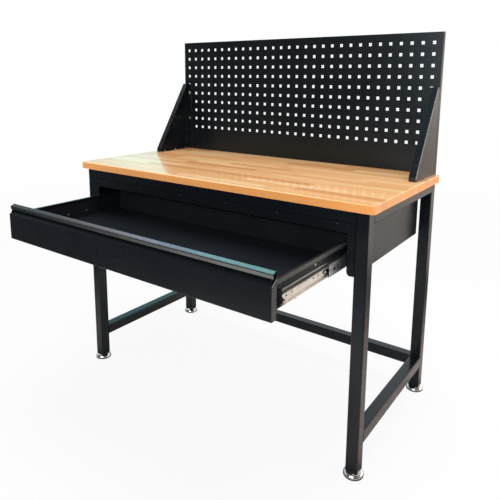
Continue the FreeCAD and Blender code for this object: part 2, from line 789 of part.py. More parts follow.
def make_lever(hand):
    # a moulded lever on a pin in the channel of the inner member, its tip curling down
    lever = new_body(f"{hand}_release_lever", "drawer_at")
    span = hand_span(hand, "lever_in", "lever_out")
    pivot = ("lever_at", "slide_mid")
    add_slab(lever, "x", *span, circles=[(pivot, "lever_hub")])
    arm = [
        ("lever_at", "slide_mid + lever_hub / 2"), ("lever_at", "slide_mid - lever_hub / 2"),
        ("lever_at + lever_long - lever_hub", "slide_mid - lever_drop - lever_tip / 2"),
        ("lever_at + lever_long", "slide_mid - lever_drop - lever_tip"),
        ("lever_at + lever_long", "slide_mid - lever_drop"),
        ("lever_at + lever_long / 2", "slide_mid - lever_drop / 2 + lever_tip")]
    add_slab(lever, "x", *span, arm)
    cut_slab(lever, "x", *span, circles=[(pivot, "lever_pin + turn_play")])
    pin = new_body(f"{hand}_lever_pin", "drawer_at")
    add_slab(pin, "x", *hand_span(hand, "tray_half", "pin_cap_in"), circles=[(pivot, "lever_pin")])
    cap = hand_span(hand, "pin_cap_in", "pin_cap_in + slide_sheet")
    add_slab(pin, "x", *cap, circles=[(pivot, "lever_pin_cap")])


def make_drawer_front():
    # one folded sheet: face, sloped shelf, finger channel and the lip that hangs over it
    body = new_body("drawer_front", "drawer_at")
    back = "pull_wall + drawer_sheet"
    skin_in = "front + drawer_sheet"
    lip_in = "pull_lip + drawer_sheet"
    under = "drawer_sheet * pull_lean - pull_under"
    section = [
        (back, "drawer_low"), ("front", "drawer_low"), ("front", "face_top"), ("pull_wall", "slope_top"),
        ("pull_wall", "pull_top - drawer_sheet"), (lip_in, "pull_top - drawer_sheet"),
        (lip_in, "pull_lip_low"), ("pull_lip", "pull_lip_low"), ("pull_lip", "pull_top"), (back, "pull_top"),
        (back, f"slope_top + {under}"), (skin_in, f"face_top + {under}"),
        (skin_in, "drawer_low + drawer_sheet"), (back, "drawer_low + drawer_sheet")]
    add_slab(body, "x", "-drawer_half", "drawer_half", section)
    bends = [("front", "drawer_low"), ("front", "face_top"), ("pull_lip", "pull_top"), (back, "pull_top")]
    round_edges(body, "drawer_round", edge_lies_on("x", *bends))
    inset = "drawer_sheet / 2"
    end = [
        (f"front + {inset}", f"drawer_low + {inset}"), (f"front + {inset}", f"face_top - {inset}"),
        (f"pull_wall + {inset}", f"slope_top - {inset}"), (f"pull_wall + {inset}", f"drawer_low + {inset}")]
    for hand in HANDS:
        add_slab(body, "x", *hand_span(hand, "drawer_half - drawer_sheet", "drawer_half"), end)


def make_tray():
    body = new_body("drawer_tray", "drawer_at")
    floor_low = "tray_floor - drawer_sheet"
    hem_low = "tray_top - drawer_sheet"
    outline = rectangle("-tray_half", "tray_front", "tray_half", "tray_rear")
    hollow = rectangle("-tray_in", "tray_front + drawer_sheet", "tray_in", "tray_rear - drawer_sheet")
    add_slab(body, "z", floor_low, "tray_top", outline)
    floor_bends = [("tray_half", floor_low), ("-tray_half", floor_low)]
    round_edges(body, "drawer_sheet", edge_lies_on("y", *floor_bends))
    cut_slab(body, "z", "tray_floor", "tray_top", hollow)
    for hand in HANDS:
        left, right = hand_span(hand, "tray_half - tray_hem", "tray_half")
        add_slab(body, "y", "tray_front", "tray_rear", rectangle(left, hem_low, right, "tray_top"))
        web_holes(body, hand, "tray_in", "tray_half", "slide_screw_round + hole_play", SLIDE_SCREWS)
        left, right = hand_span(hand, "tray_half", "tray_half + side_hem_thick")
        fold = rectangle(left, "tray_top - side_hem_high", right, "tray_top")
        add_slab(body, "y", "tray_front", "tray_rear", fold)
    back_hem = rectangle("-tray_in", "tray_rear - tray_hem", "tray_in", "tray_rear")
    add_slab(body, "z", hem_low, "tray_top", back_hem)
    front_wall = rectangle("-tray_half", "tray_floor", "tray_half", "tray_front_top")
    add_slab(body, "y", "tray_front", "tray_front + drawer_sheet", front_wall)


def make_fasteners():
    bolt = turned_body("top_bolt_template", [
        ("0", "-bolt_head_high"), ("bolt_head", "-bolt_head_high"), ("bolt_head", "0"), ("bolt_round", "0"),
        ("bolt_round", "tube + top_bolt_bite"), ("0", "tube + top_bolt_bite")], keep=False)
    repeat("worktop_bolts", bolt, [(*place, "case_top") for place in top_bolt_places()])
    screw = turned_body("screw_template", [
        ("0", "pilot_end - screw_long"), ("screw_round", "pilot_end - screw_long"), ("screw_round", "0"),
        ("screw_head", "0"), ("screw_head", "screw_head_high"), ("0", "screw_head_high")], keep=False)
    repeat("gusset_screws", screw, [(*place, "table + gusset_sheet") for place in gusset_screw_places()])
    repeat("pegboard_screws", screw, [(*place, "frame_top + board_sheet") for place in board_screw_places()])
    make_gusset_bolts()
    make_drawer_screws()


def make_gusset_bolts():
    bolt = new_body("gusset_bolt_template", keep=False)
    spot = ("0", "0")
    add_slab(bolt, "y", "gusset_face - bolt_head_high", "gusset_face", circles=[(spot, "bolt_head")])
    bolt_tip = "board_back + nut_high + bolt_end"
    add_slab(bolt, "y", "gusset_face", bolt_tip, circles=[(spot, "bolt_round")])
    nut = new_body("gusset_nut_template", keep=False)
    angles = range(0, 360, 60)
    corners = [(f"nut_round * cos({angle} deg)", f"nut_round * sin({angle} deg)") for angle in angles]
    add_slab(nut, "y", "board_back", "board_back + nut_high", corners)
    cut_slab(nut, "y", "board_back", "board_back + nut_high", circles=[(spot, "bolt_round + plug_play")])
    places = [(across, "0", up) for across, up in gusset_bolt_places()]
    repeat("gusset_bolts", bolt, places)
    repeat("gusset_nuts", nut, places)


def make_drawer_screws():
    spot = ("0", "slide_mid")
    places = [("0", f"slide_front + {distance}", "0") for distance in SLIDE_SCREWS]
    for hand in HANDS:
        template = new_body(f"{hand}_drawer_screw_template", keep=False)
        head = hand_span(hand, "inner_web", "inner_web + screw_head_high")
        shank = hand_span(hand, "tray_in - screw_end", "inner_web")
        add_slab(template, "x", *head, circles=[(spot, "slide_screw_head")])
        add_slab(template, "x", *shank, circles=[(spot, "slide_screw_round")])
        repeat(f"{hand}_drawer_screws", template, places, "drawer_at")


def write_pieces():
    doc.recompute()
    for item in doc.Objects:
        if "Invalid" in item.State or "Error" in item.State:
            raise ValueError(f"{item.Label} failed: {item.State}")
    os.makedirs("parts", exist_ok=True)
    for piece in pieces:
        if piece.Shape.isNull() or not piece.Shape.isValid():
            raise ValueError(f"{piece.Label} has no valid shape")
        piece.Shape.exportStep(f"parts/{piece.Label}.step")
    print(len(pieces), "pieces written")


make_frame()
make_feet()
make_worktop()
make_pegboard()
make_case()
runner_ball = ball_template()
for hand_name in HANDS:
    make_gusset(hand_name)
    make_posts(hand_name)
    make_runner(hand_name)
    make_cage(hand_name, "outer_cage", runner_ball)
    make_cage(hand_name, "inner_cage", runner_ball)
    make_lever(hand_name)
    make_buffer(hand_name)
make_drawer_front()
make_tray()
make_fasteners()
write_pieces()
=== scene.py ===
import bmesh
import bpy
import json
import math
from mathutils import Matrix, Vector


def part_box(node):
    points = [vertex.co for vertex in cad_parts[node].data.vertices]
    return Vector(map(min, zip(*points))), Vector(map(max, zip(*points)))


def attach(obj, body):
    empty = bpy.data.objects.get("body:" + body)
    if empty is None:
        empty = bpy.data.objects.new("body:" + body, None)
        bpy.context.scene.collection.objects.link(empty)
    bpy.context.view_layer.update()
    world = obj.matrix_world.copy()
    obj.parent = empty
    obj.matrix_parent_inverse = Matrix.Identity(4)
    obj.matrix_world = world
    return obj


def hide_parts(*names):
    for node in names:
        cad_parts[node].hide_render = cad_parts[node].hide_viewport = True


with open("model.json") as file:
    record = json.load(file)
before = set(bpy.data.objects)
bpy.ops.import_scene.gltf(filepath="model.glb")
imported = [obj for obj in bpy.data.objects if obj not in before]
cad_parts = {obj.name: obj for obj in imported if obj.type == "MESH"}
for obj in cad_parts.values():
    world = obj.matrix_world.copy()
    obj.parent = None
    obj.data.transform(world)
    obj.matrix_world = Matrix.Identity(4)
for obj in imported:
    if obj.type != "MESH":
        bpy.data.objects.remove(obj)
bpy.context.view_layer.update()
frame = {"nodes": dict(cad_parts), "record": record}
scene = bpy.context.scene
hands = {"left": -1, "right": 1}
corners = [f"{end}_{hand}" for end in ("front", "rear") for hand in hands]


# shader helpers

def newFinish(name):
    finish = bpy.data.materials.new(name)
    finish.use_nodes = True
    return finish, finish.node_tree, finish.node_tree.nodes["Principled BSDF"]


def setInputs(tree, node, inputs):
    for key, value in inputs.items():
        if isinstance(value, bpy.types.NodeSocket):
            tree.links.new(value, node.inputs[key])
        elif value is not None:
            node.inputs[key].default_value = value


def addNode(tree, kind, inputs=None, **settings):
    node = tree.nodes.new(kind)
    for key, value in settings.items():
        setattr(node, key, value)
    setInputs(tree, node, inputs or {})
    return node


def calc(tree, how, first, second=None):
    return addNode(tree, "ShaderNodeMath", {0: first, 1: second}, operation=how).outputs[0]


def remap(tree, value, fromLow, fromHigh, toLow, toHigh):
    node = addNode(tree, "ShaderNodeMapRange", {0: value, 1: fromLow, 2: fromHigh, 3: toLow, 4: toHigh})
    return node.outputs[0]


def mixColours(tree, share, first, second):
    return addNode(tree, "ShaderNodeMix", {0: share, 6: first, 7: second}, data_type="RGBA").outputs[2]


def mixValues(tree, share, first, second):
    return addNode(tree, "ShaderNodeMix", {0: share, 2: first, 3: second}).outputs[0]


def spot(tree):
    return addNode(tree, "ShaderNodeTexCoord").outputs["Object"]


def stretch(tree, vector, scale):
    return addNode(tree, "ShaderNodeMapping", {"Vector": vector, "Scale": scale}).outputs[0]


def noise(tree, vector, scale, detail, roughness, distortion=0.0):
    inputs = {"Vector": vector, "Scale": scale, "Detail": detail, "Roughness": roughness}
    return addNode(tree, "ShaderNodeTexNoise", {**inputs, "Distortion": distortion}).outputs[0]


def chance(tree, dimensions, value):
    key = "W" if dimensions == "1D" else "Vector"
    node = addNode(tree, "ShaderNodeTexWhiteNoise", {key: value}, noise_dimensions=dimensions)
    return node.outputs["Value"]


def bump(tree, height, strength, distance, normal=None):
    inputs = {"Height": height, "Strength": strength, "Distance": distance, "Normal": normal}
    return addNode(tree, "ShaderNodeBump", inputs).outputs[0]


def softEdge(tree, radius):
    return addNode(tree, "ShaderNodeBevel", {"Radius": radius}, samples=4).outputs[0]


def edgeShare(tree, softNormal, sharpness):
    # 0 on flat faces, up to 1 on outside and inside edges
    true = addNode(tree, "ShaderNodeNewGeometry").outputs["Normal"]
    same = addNode(tree, "ShaderNodeVectorMath", {0: softNormal, 1: true}, operation="DOT_PRODUCT")
    return remap(tree, same.outputs["Value"], 1.0, 1.0 - sharpness, 0.0, 1.0)


def ramp(tree, share, stops):
    node = addNode(tree, "ShaderNodeValToRGB", {0: share})
    while len(node.color_ramp.elements) < len(stops):
        node.color_ramp.elements.new(0.5)
    for element, (place, colour) in zip(node.color_ramp.elements, stops):
        element.position = place
        element.color = (*colour, 1)
    return node.outputs[0]


def split(tree, vector):
    return addNode(tree, "ShaderNodeSeparateXYZ", {0: vector}).outputs


def combine(tree, x, y, z=0.0):
    return addNode(tree, "ShaderNodeCombineXYZ", {0: x, 1: y, 2: z}).outputs[0]


def shift(tree, vector, step):
    return addNode(tree, "ShaderNodeVectorMath", {0: vector, 1: step}, operation="ADD").outputs[0]


def vectorLength(tree, vector):
    return addNode(tree, "ShaderNodeVectorMath", {0: vector}, operation="LENGTH").outputs["Value"]


def facing(tree):
    return split(tree, addNode(tree, "ShaderNodeNewGeometry").outputs["Normal"])


def rising(tree, value, span, top=1.0):
    # 0 before the span, top after it
    return remap(tree, value, *span, 0.0, top)


def falling(tree, value, span, top=1.0):
    # top before the span, 0 after it
    return remap(tree, value, *span, top, 0.0)


def times(tree, *shares):
    product = shares[0]
    for share in shares[1:]:
        product = calc(tree, "MULTIPLY", product, share)
    return product


# finishes, with masks in the places of the rest pose

coatLook = {
    "deep": (0.0034, 0.0051, 0.0071, 1), "worn": (0.006, 0.0074, 0.0092, 1), "edge": (0.06, 0.058, 0.055, 1),
    "cloudScale": 5.0, "peelScale": 620.0, "peelDepth": 0.00012, "peelShare": 0.2, "dustScale": 160.0,
    "edgeRadius": 0.0014, "edgeTurn": 0.25, "roughLow": 0.21, "roughHigh": 0.29, "dustRough": 0.05,
    "ior": 1.43, "sheen": (0.78, 0.93, 1, 1), "shine": 0.5}
# the two pale colours here are painted highlights and sheen: on the lip, the drawer's end faces, the tray's
# hems and the sloped cut of the ends
pullCoat = {
    "lipDeep": (-0.4685, -0.4665), "lipUp": (0.7105, 0.7112), "lipTop": (0.7198, 0.7206),
    "endOut": (0.5166, 0.5169), "endDeep": (-0.456, -0.4555), "endShare": 0.36,
    "paintedSheen": (0.185, 0.18, 0.172, 1), "sheenFrom": (-0.75, 0.55), "streaks": (9, 60, 160),
    "cutSlope": 0.74, "cutAt": (1.0462, 1.0468), "cutTop": (0.7106, 0.711), "cutHighlight": (0.34, 0.33, 0.34, 1),
    "shelfDeep": (-0.4572, -0.4566), "shelfFrom": (0.6935, 0.6955), "shelfTo": (0.7095, 0.7108),
    "shelfDull": 0.4}
# the bluish colour here is painted light inside the tray
trayCoat = {
    "floor": (0.628, 0.629), "top": (0.702, 0.703), "front": (-0.4558, -0.4552), "inside": (0.5074, 0.5078),
    "outside": (0.5079, 0.5082), "pastSide": (0.5125, 0.513), "paintedTrayLight": (0.0115, 0.0132, 0.0168, 1),
    "hemFrom": (0.6875, 0.689), "hemShare": 0.3, "flankDull": 0.22}
# the pale colour here is a painted highlight along the plates' fold
plateCoat = {
    "foldOut": (0.5775, 0.578), "foldTurn": (-0.3, -0.12), "above": (0.824, 0.83), "before": (0.438, 0.441),
    "fold": (0.21, 0.22, 0.23, 1)}


def makeBlackCoat(look, pull, tray, plate):
    finish, tree, shader = newFinish("blackPowderCoat")
    place = spot(tree)
    axes = split(tree, place)
    wide = calc(tree, "ABSOLUTE", axes["X"])
    clouds = noise(tree, place, look["cloudScale"], 4.0, 0.6)
    peel = noise(tree, place, look["peelScale"], 2.0, 0.5)
    dust = noise(tree, place, look["dustScale"], 5.0, 0.7)
    rounded = softEdge(tree, look["edgeRadius"])
    base = mixColours(tree, clouds, look["deep"], look["worn"])
    # a painted highlight on the pull's lip, stronger to the right, and a painted sheen on the drawer's end
    # faces, where they catch the light
    lipHigh = times(tree, rising(tree, axes["Z"], pull["lipUp"]), falling(tree, axes["Z"], pull["lipTop"]))
    along = rising(tree, axes["X"], pull["sheenFrom"])
    onLip = times(tree, falling(tree, axes["Y"], pull["lipDeep"]), lipHigh, along, along)
    onEnd = times(tree, rising(tree, wide, pull["endOut"]), falling(tree, axes["Y"], pull["endDeep"]))
    sheenPlaces = calc(tree, "MAXIMUM", onLip, times(tree, onEnd, pull["endShare"]))
    streaks = noise(tree, stretch(tree, place, pull["streaks"]), 1.0, 4.0, 0.6)
    sheenMask = times(tree, sheenPlaces, remap(tree, streaks, 0.3, 0.7, 0.6, 1.0))
    base = mixColours(tree, sheenMask, base, pull["paintedSheen"])
    # the tray's inside is painted paler and bluer in patches, painted light where the open tray catches it
    level = times(tree, rising(tree, axes["Z"], tray["floor"]), falling(tree, axes["Z"], tray["top"]))
    level = times(tree, level, rising(tree, axes["Y"], tray["front"]))
    patches = remap(tree, clouds, 0.25, 0.75, 0.6, 1.0)
    trayLight = times(tree, falling(tree, wide, tray["inside"]), level, patches)
    base = mixColours(tree, trayLight, base, tray["paintedTrayLight"])
    # a painted highlight along the sloped fold of the side plates, where the bend catches the light
    turned = falling(tree, facing(tree)["Y"], plate["foldTurn"])
    above = times(tree, rising(tree, axes["Z"], plate["above"]), falling(tree, axes["Y"], plate["before"]))
    onFold = times(tree, rising(tree, wide, plate["foldOut"]), turned, above)
    base = mixColours(tree, onFold, base, plate["fold"])
    # a painted highlight on the sloped cut of the drawer's ends
    slope = calc(tree, "SUBTRACT", axes["Z"], times(tree, axes["Y"], pull["cutSlope"]))
    onCut = times(tree, onEnd, rising(tree, slope, pull["cutAt"]), falling(tree, axes["Z"], pull["cutTop"]))
    base = mixColours(tree, onCut, base, pull["cutHighlight"])
    # the tray's hems are painted paler outside, a painted sheen along the top of the tray's sides
    outside = times(tree, rising(tree, wide, tray["outside"]), falling(tree, wide, tray["pastSide"]), level)
    hem = rising(tree, axes["Z"], tray["hemFrom"])
    base = mixColours(tree, times(tree, outside, hem, tray["hemShare"]), base, pull["paintedSheen"])
    # every edge is painted a little paler: partly wear, partly a painted highlight where the edges catch the
    # light
    worn = times(tree, edgeShare(tree, rounded, look["edgeTurn"]), remap(tree, dust, 0.42, 0.7, 0.15, 1.0))
    base = mixColours(tree, worn, base, look["edge"])
    # the shelf under the lip and the tray's sides take less shine
    shelf = times(tree, rising(tree, axes["Z"], pull["shelfFrom"]), falling(tree, axes["Z"], pull["shelfTo"]))
    shelf = times(tree, shelf, falling(tree, axes["Y"], pull["shelfDeep"]), pull["shelfDull"])
    flank = times(tree, outside, calc(tree, "SUBTRACT", 1.0, hem), tray["flankDull"])
    shine = calc(tree, "SUBTRACT", look["shine"], calc(tree, "ADD", shelf, flank))
    rough = remap(tree, clouds, 0.3, 0.7, look["roughLow"], look["roughHigh"])
    rough = calc(tree, "ADD", rough, times(tree, dust, look["dustRough"]))
    relief = bump(tree, peel, look["peelShare"], look["peelDepth"], rounded)
    setInputs(tree, shader, {
        "Base Color": base, "Roughness": rough, "Normal": relief, "Specular IOR Level": shine,
        "IOR": look["ior"], "Specular Tint": look["sheen"]})
    return finish


woodLook = {
    "staveWide": 0.036, "blockShort": 0.19, "blockLong": 0.37, "fingerDeep": 0.004, "fingers": 5.0,
    "seam": 0.0005, "seamShare": 0.55, "rowSpread": 3.7, "longSeed": 41.5, "boardSeed": (7.3, 3.1, 0),
    "boardSpread": 9.0, "tones": [
        (0.0, (0.67, 0.315, 0.12)), (0.28, (0.79, 0.425, 0.18)), (0.62, (0.86, 0.50, 0.235)),
        (1.0, (0.91, 0.595, 0.315))],
    "figure": (2.6, 46, 46), "fibres": (14, 620, 620), "pores": (60, 1500, 1500), "ringStep": 0.31,
    "grain": (0.42, 0.19, 0.07, 1), "seamColour": (0.34, 0.165, 0.065, 1), "endGrain": (0.55, 0.28, 0.11, 1),
    "side": (0.87, 0.345, 0.085, 1), "sideShare": 0.72, "sideTurn": (0.3, 0.8), "sawnTurn": (0.6, 0.9),
    "roughLow": 0.26, "roughHigh": 0.38, "shine": 0.3, "varnish": 0.75, "varnishSide": 0.1,
    "varnishRough": 0.1, "fibreHigh": 0.25, "reliefShare": 0.2, "reliefDeep": 0.0003}


def layStaves(tree, axes, look):
    # rows of blocks with finger joints: the row, the place across it and along a block, the block's length
    stave = calc(tree, "DIVIDE", axes["Y"], look["staveWide"])
    row = calc(tree, "FLOOR", stave)
    across = calc(tree, "FRACT", stave)
    rowShift = times(tree, chance(tree, "1D", row), look["rowSpread"])
    drawn = chance(tree, "1D", calc(tree, "ADD", row, look["longSeed"]))
    longRow = remap(tree, drawn, 0, 1, look["blockShort"], look["blockLong"])
    finger = calc(tree, "PINGPONG", times(tree, across, look["fingers"]), 0.5)
    zigzag = times(tree, finger, look["fingerDeep"] * 2)
    along = calc(tree, "ADD", calc(tree, "ADD", axes["X"], rowShift), zigzag)
    return row, across, calc(tree, "DIVIDE", along, longRow), longRow


def makeOiledWood(look):
    finish, tree, shader = newFinish("varnishedStaves")
    place = spot(tree)
    axes = split(tree, place)
    row, across, blockPlace, longRow = layStaves(tree, axes, look)
    cell = combine(tree, row, calc(tree, "FLOOR", blockPlace))
    tone = chance(tree, "2D", cell)
    second = chance(tree, "2D", shift(tree, cell, look["boardSeed"]))
    # every block is cut from another board, so its grain starts elsewhere
    board = shift(tree, place, combine(tree, times(tree, tone, look["boardSpread"]), second, tone))
    figure = noise(tree, stretch(tree, board, look["figure"]), 1.6, 5.0, 0.62, 0.7)
    fibres = noise(tree, stretch(tree, board, look["fibres"]), 1.0, 3.0, 0.6)
    pores = noise(tree, stretch(tree, board, look["pores"]), 1.0, 2.0, 0.7)
    colour = ramp(tree, tone, look["tones"])
    colour = mixColours(tree, rising(tree, figure, (0.45, 0.78), 0.34), colour, look["grain"])
    colour = mixColours(tree, rising(tree, fibres, (0.5, 0.8), 0.2), colour, look["grain"])
    colour = mixColours(tree, rising(tree, pores, (0.62, 0.75), 0.35), colour, look["seamColour"])
    # sawn ends show rings in place of long grain
    normal = facing(tree)
    sawn = rising(tree, calc(tree, "ABSOLUTE", normal["X"]), look["sawnTurn"])
    ringPlace = combine(tree, times(tree, row, look["ringStep"]), axes["Y"], axes["Z"])
    ringInputs = {"Vector": ringPlace, "Scale": 70.0, "Distortion": 5.0, "Detail": 3.0, "Detail Scale": 1.5}
    rings = addNode(tree, "ShaderNodeTexWave", ringInputs, wave_type="RINGS", rings_direction="X").outputs[1]
    endTone = mixColours(tree, rising(tree, rings, (0.2, 0.9), 0.45), colour, look["endGrain"])
    colour = mixColours(tree, sawn, colour, endTone)
    lying = calc(tree, "ABSOLUTE", normal["Z"])
    colour = mixColours(tree, falling(tree, lying, look["sideTurn"], look["sideShare"]), colour, look["side"])
    # thin glue seams between the staves and at the block ends
    sideGap = times(tree, calc(tree, "PINGPONG", across, 0.5), look["staveWide"])
    endGap = times(tree, calc(tree, "PINGPONG", calc(tree, "FRACT", blockPlace), 0.5), longRow)
    endSeam = times(tree, falling(tree, endGap, (0.0, look["seam"])), calc(tree, "SUBTRACT", 1.0, sawn))
    seams = calc(tree, "MAXIMUM", falling(tree, sideGap, (0.0, look["seam"])), endSeam)
    colour = mixColours(tree, times(tree, seams, look["seamShare"]), colour, look["seamColour"])
    rough = remap(tree, figure, 0.3, 0.7, look["roughLow"], look["roughHigh"])
    relief = calc(tree, "SUBTRACT", times(tree, fibres, look["fibreHigh"]), seams)
    relief = bump(tree, relief, look["reliefShare"], look["reliefDeep"])
    varnish = remap(tree, lying, *look["sideTurn"], look["varnishSide"], look["varnish"])
    setInputs(tree, shader, {
        "Base Color": colour, "Roughness": rough, "Normal": relief, "Specular IOR Level": look["shine"],
        "Coat Weight": varnish, "Coat Roughness": look["varnishRough"]})
    return finish


chromeLook = {
    "bright": (0.82, 0.83, 0.84, 1), "clouded": (0.62, 0.63, 0.65, 1), "hazeScale": 55.0, "pitScale": 900.0,
    "pitShare": 0.05, "pitDeep": 0.0001, "roughLow": 0.05, "roughHigh": 0.16}


def makeChrome(look):
    finish, tree, shader = newFinish("brightChrome")
    place = spot(tree)
    haze = noise(tree, place, look["hazeScale"], 4.0, 0.6)
    pits = noise(tree, place, look["pitScale"], 2.0, 0.5)
    colour = mixColours(tree, rising(tree, haze, (0.4, 0.75)), look["bright"], look["clouded"])
    rough = remap(tree, haze, 0.3, 0.7, look["roughLow"], look["roughHigh"])
    relief = bump(tree, pits, look["pitShare"], look["pitDeep"])
    setInputs(tree, shader, {"Base Color": colour, "Roughness": rough, "Normal": relief, "Metallic": 1.0})
    return finish


zincLook = {
    "plain": (0.93, 0.915, 0.87, 1), "warm": (0.95, 0.91, 0.83, 1), "grey": (0.58, 0.58, 0.59, 1),
    "tintScale": 26.0, "spangleScale": 210.0, "drawn": (900, 12, 900), "drawnShare": 0.04,
    "drawnDeep": 0.0001, "edgeRadius": 0.0005, "roughLow": 0.28, "roughHigh": 0.42}
slideZinc = {
    "high": 0.651, "half": 0.026, "outer": (0.512, 0.517), "outerWarm": 0.15, "outerShare": 0.9,
    "steelDark": (0.2, 0.21, 0.25, 1), "steelPale": (0.82, 0.85, 0.92, 1),
    "stripFrom": (0.6635, 0.6645), "stripOut": (0.5095, 0.5105), "stripStreaks": (1, 14, 1300),
    "stripDark": (0.07, 0.07, 0.075, 1), "stripPale": (0.36, 0.35, 0.345, 1),
    "raceTurn": (-0.45, -0.1), "raceDull": 0.85}


def makeZinc(look, slide):
    finish, tree, shader = newFinish("brightZinc")
    place = spot(tree)
    axes = split(tree, place)
    wide = calc(tree, "ABSOLUTE", axes["X"])
    tint = noise(tree, place, look["tintScale"], 3.0, 0.6)
    spangle = noise(tree, place, look["spangleScale"], 2.0, 0.5)
    drawn = noise(tree, stretch(tree, place, look["drawn"]), 1.0, 3.0, 0.6)
    lessOut = remap(tree, wide, *slide["outer"], 1.0, slide["outerWarm"])
    warmth = times(tree, remap(tree, tint, 0.35, 0.65, 0.25, 0.8), lessOut)
    colour = mixColours(tree, warmth, look["plain"], look["warm"])
    colour = mixColours(tree, rising(tree, spangle, (0.5, 0.75), 0.3), colour, look["grey"])
    # the strip above each runner is grey and streaky
    fromSlide = calc(tree, "ABSOLUTE", calc(tree, "SUBTRACT", axes["Z"], slide["high"]))
    atSlide = calc(tree, "LESS_THAN", fromSlide, slide["half"])
    onStrip = times(tree, rising(tree, axes["Z"], slide["stripFrom"]), falling(tree, wide, slide["stripOut"]))
    onStrip = times(tree, atSlide, onStrip)
    streaks = noise(tree, stretch(tree, place, slide["stripStreaks"]), 1.0, 3.0, 0.6)
    strip = mixColours(tree, rising(tree, streaks, (0.35, 0.65)), slide["stripDark"], slide["stripPale"])
    colour = mixColours(tree, onStrip, colour, strip)
    # the middle members of the runners are colder steel, drawn lengthwise
    steel = mixColours(tree, rising(tree, drawn, (0.35, 0.65)), slide["steelDark"], slide["steelPale"])
    onMiddle = times(tree, atSlide, rising(tree, wide, slide["outer"], slide["outerShare"]))
    colour = mixColours(tree, onMiddle, colour, steel)
    # the plating is duller on the lower races
    race = times(tree, atSlide, falling(tree, facing(tree)["Z"], slide["raceTurn"], slide["raceDull"]))
    metal = calc(tree, "SUBTRACT", 1.0, race)
    rough = remap(tree, drawn, 0.25, 0.75, look["roughLow"], look["roughHigh"])
    relief = bump(tree, drawn, look["drawnShare"], look["drawnDeep"], softEdge(tree, look["edgeRadius"]))
    setInputs(tree, shader, {"Base Color": colour, "Roughness": rough, "Normal": relief, "Metallic": metal})
    return finish


plasticLook = {
    "deep": (0.004, 0.004, 0.0045, 1), "pale": (0.010, 0.010, 0.0105, 1), "flowScale": 70.0,
    "sparkScale": 1400.0, "sparkShare": 0.25, "sparkDeep": 0.0001, "edgeRadius": 0.0004,
    "roughLow": 0.5, "roughHigh": 0.68, "shine": 0.05}


def makePlastic(look):
    finish, tree, shader = newFinish("mouldedPlastic")
    place = spot(tree)
    flow = noise(tree, place, look["flowScale"], 3.0, 0.6)
    spark = noise(tree, place, look["sparkScale"], 2.0, 0.6)
    colour = mixColours(tree, flow, look["deep"], look["pale"])
    rough = remap(tree, flow, 0.3, 0.7, look["roughLow"], look["roughHigh"])
    relief = bump(tree, spark, look["sparkShare"], look["sparkDeep"], softEdge(tree, look["edgeRadius"]))
    setInputs(tree, shader, {
        "Base Color": colour, "Roughness": rough, "Normal": relief, "Specular IOR Level": look["shine"]})
    return finish


finishes = {
    "black_coat": makeBlackCoat(coatLook, pullCoat, trayCoat, plateCoat),
    "oiled_wood": makeOiledWood(woodLook), "chrome_plate": makeChrome(chromeLook),
    "zinc_steel": makeZinc(zincLook, slideZinc), "black_plastic": makePlastic(plasticLook)}
for part in frame["record"]["subparts"]:
    mesh = frame["nodes"][part["node"]].data
    mesh.materials.clear()
    mesh.materials.append(finishes[part["material_slot"]])
print("finishes made:", ", ".join(finishes))


# mesh helpers: a shape is a list of points and a list of faces

def joinShapes(*shapes):
    points, faces = [], []
    for shapePoints, shapeFaces in shapes:
        start = len(points)
        points += shapePoints
        faces += [[start + index for index in face] for face in shapeFaces]
    return points, faces


def moveShape(shape, matrix):
    points, faces = shape
    flipped = matrix.to_3x3().determinant() < 0
    return [matrix @ Vector(p) for p in points], [face[::-1] if flipped else face for face in faces]


def toward(place, direction):
    # the shape's own z axis is turned to the direction, its origin goes to the place
    turn = Vector(direction).to_track_quat("Z", "Y").to_matrix().to_4x4()
    return Matrix.Translation(place) @ turn


def ringPoints(radius, height, steps):
    turns = [2 * math.pi * k / steps for k in range(steps)]
    return [(radius * math.cos(turn), radius * math.sin(turn), height) for turn in turns]


def lathe(profile, steps):
    # profile of (radius, height) from the bottom up, ends on the axis are closed to a point
    points, rings = [], []
    for radius, height in profile:
        if radius < 1e-7:
            rings.append([len(points)])
            points.append((0, 0, height))
        else:
            rings.append(list(range(len(points), len(points) + steps)))
            points += ringPoints(radius, height, steps)
    faces = []
    for low, high in zip(rings, rings[1:]):
        for k in range(steps):
            after = (k + 1) % steps
            if len(low) == 1:
                faces.append([low[0], high[after], high[k]])
            elif len(high) == 1:
                faces.append([low[k], low[after], high[0]])
            else:
                faces.append([low[k], low[after], high[after], high[k]])
    return points, faces


def sweepX(outline, ends):
    # a closed outline in (y, z) pushed along x, with flat ends
    count = len(outline)
    points = [(x, y, z) for x in ends for y, z in outline]
    area = sum(a[0] * b[1] - b[0] * a[1] for a, b in zip(outline, outline[1:] + outline[:1]))
    faces = [[k, (k + 1) % count, count + (k + 1) % count, count + k] for k in range(count)]
    faces += [list(range(count))[::-1], list(range(count, 2 * count))]
    return (points, faces) if area > 0 else (points, [face[::-1] for face in faces])


def roundedPath(bends, steps):
    # (y, z, bend radius) corners joined by straight runs and round bends
    path = [bends[0][:2]]
    for before, here, after in zip(bends, bends[1:], bends[2:]):
        radius = here[2]
        middle = Vector(here[:2])
        inward = (Vector(before[:2]) - middle).normalized()
        outward = (Vector(after[:2]) - middle).normalized()
        half = inward.angle(outward) / 2
        pivot = middle + (inward + outward).normalized() * radius / math.sin(half)
        start = middle + inward * radius / math.tan(half)
        end = middle + outward * radius / math.tan(half)
        first = start - pivot
        sweep = first.angle_signed(end - pivot)
        for k in range(steps + 1):
            angle = -sweep * k / steps
            path.append((
                pivot.x + first.x * math.cos(angle) - first.y * math.sin(angle),
                pivot.y + first.x * math.sin(angle) + first.y * math.cos(angle)))
    path.append(bends[-1][:2])
    return path


